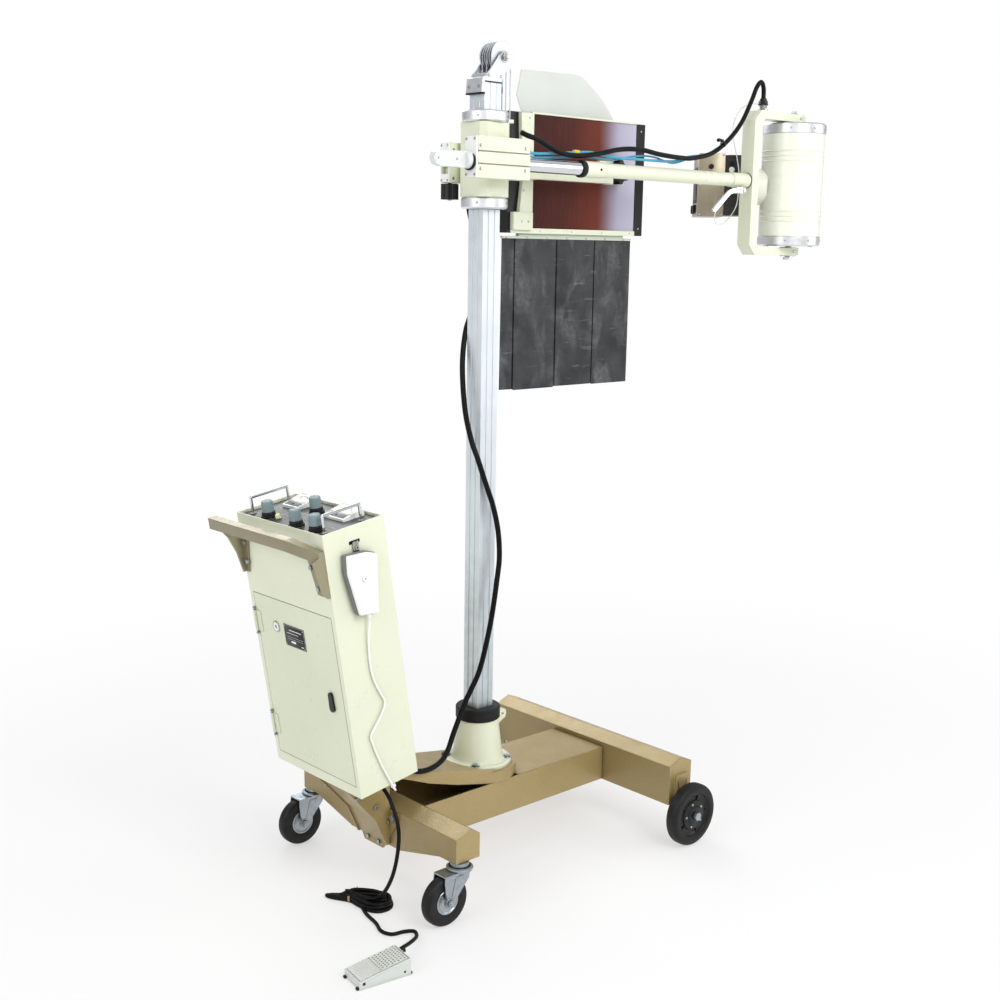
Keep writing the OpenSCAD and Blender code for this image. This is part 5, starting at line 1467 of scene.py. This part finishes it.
# ---------------------------------------------------------------- floor, fading to white
mat = Shader("pale_floor")
mat.base((0.80, 0.80, 0.80, 1), (0.83, 0.83, 0.83, 1), mat.clouds(noise=(0.6, 2, 0.5)))
mat.surface(Roughness=0.75, Specular_IOR_Level=0.2)
distance = mat.node("VectorMath", {0: mat.place}, operation="LENGTH").outputs["Value"]
fade = mat.remap(distance, span=(0.7, 3.0), to=(0.52, 1.0), interp="SMOOTHSTEP")
glow = mat.node("Emission", {"Color": (1, 1, 1, 1), "Strength": 1.0})
mixed = mat.node("MixShader", {0: fade, 1: mat.bsdf.outputs[0], 2: glow.outputs[0]})
plug(mat.tree, mat.output.inputs[0], mixed.outputs[0])
data = bpy.data.meshes.new("floor")
data.from_pydata([(x, y, -0.0006) for x, y in ((-40, -40), (40, -40), (40, 40), (-40, 40))],
                 [], [(0, 1, 2, 3)])
data.materials.append(MATERIALS["pale_floor"])
floor = bpy.data.objects.new("floor", data)
scene.collection.objects.link(floor)

# ---------------------------------------------------------------- world: white to the camera
studio = bpy.data.worlds.new("studio")
scene.world = studio
studio.use_nodes = True
tree = studio.node_tree
tree.nodes.clear()
direction = add_node(tree, "ShaderNodeTexCoord").outputs["Generated"]
upward = add_node(tree, "ShaderNodeSeparateXYZ", {0: direction}).outputs[2]
ramp = add_node(tree, "ShaderNodeValToRGB", {0: upward})
stops = ramp.color_ramp.elements
stops[0].position, stops[0].color = 0.0, (0.50, 0.50, 0.50, 1)
stops[1].position, stops[1].color = 1.0, (1.0, 1.0, 1.0, 1)
for position, grey in ((0.02, 0.62), (0.10, 0.34), (0.28, 0.62), (0.55, 1.0)):
    stops.new(position).color = (grey, grey, grey * 1.02, 1)
seen = add_node(tree, "ShaderNodeBackground", {0: (1, 1, 1, 1), 1: 1.0})
lighting = add_node(tree, "ShaderNodeBackground", {0: ramp.outputs[0], 1: 0.70})
to_camera = add_node(tree, "ShaderNodeLightPath").outputs["Is Camera Ray"]
mixed = add_node(tree, "ShaderNodeMixShader",
                 {0: to_camera, 1: lighting.outputs[0], 2: seen.outputs[0]})
add_node(tree, "ShaderNodeOutputWorld", {0: mixed.outputs[0]})

# ---------------------------------------------------------------- lights
middle = (CAD_BOX[0] + CAD_BOX[1]) / 2
LIGHTS = (  # name, x and y from the middle, z, target z, size, power
    ("key", -0.9, -4.4, 3.8, 1.0, 2.4, 138),
    ("fill", 3.6, -3.0, 2.6, 1.1, 2.4, 44),
    ("side", -4.2, -0.4, 2.6, 1.0, 2.2, 44),
    ("rim", 1.5, 4.0, 3.6, 1.2, 2.6, 62),
)
for name, x, y, z, target_z, size, power in LIGHTS:
    light = bpy.data.lights.new(name, "AREA")
    light.shape = "RECTANGLE"
    light.size = light.size_y = size
    light.energy = power
    lamp = bpy.data.objects.new(name, light)
    lamp.location = (middle.x + x, middle.y + y, z)
    lamp.rotation_mode = "QUATERNION"
    aim = Vector((middle.x, middle.y, target_z)) - Vector((middle.x + x, middle.y + y, z))
    lamp.rotation_quaternion = aim.to_track_quat("-Z", "Y")
    scene.collection.objects.link(lamp)

# ---------------------------------------------------------------- camera
lens = bpy.data.cameras.new("photo_view")
lens.sensor_fit = "HORIZONTAL"
lens.sensor_width = 36.0
lens.lens = 48.99996
lens.shift_x = 0.00013
lens.shift_y = 0.0311
lens.clip_start, lens.clip_end = 0.05, 200.0
camera = bpy.data.objects.new("photo_view", lens)
azimuth, elevation, roll = (radians(v) for v in (-42.54, 11.729, 0.897))
back = Vector((sin(azimuth) * cos(elevation), -cos(azimuth) * cos(elevation), sin(elevation)))
right = (-back).cross(Vector((0, 0, 1))).normalized()
up = right.cross(-back)
view = Matrix((right * cos(roll) + up * sin(roll), -right * sin(roll) + up * cos(roll), back))
view = view.transposed().to_4x4()
view.translation = Vector(world((-2313.3, -2597.4, 1588.7)))
camera.matrix_world = view
scene.collection.objects.link(camera)
scene.camera = camera
scene.view_settings.view_transform = "Standard"
scene.view_settings.look = "None"
scene.view_settings.exposure = 0.0

bpy.context.view_layer.update()
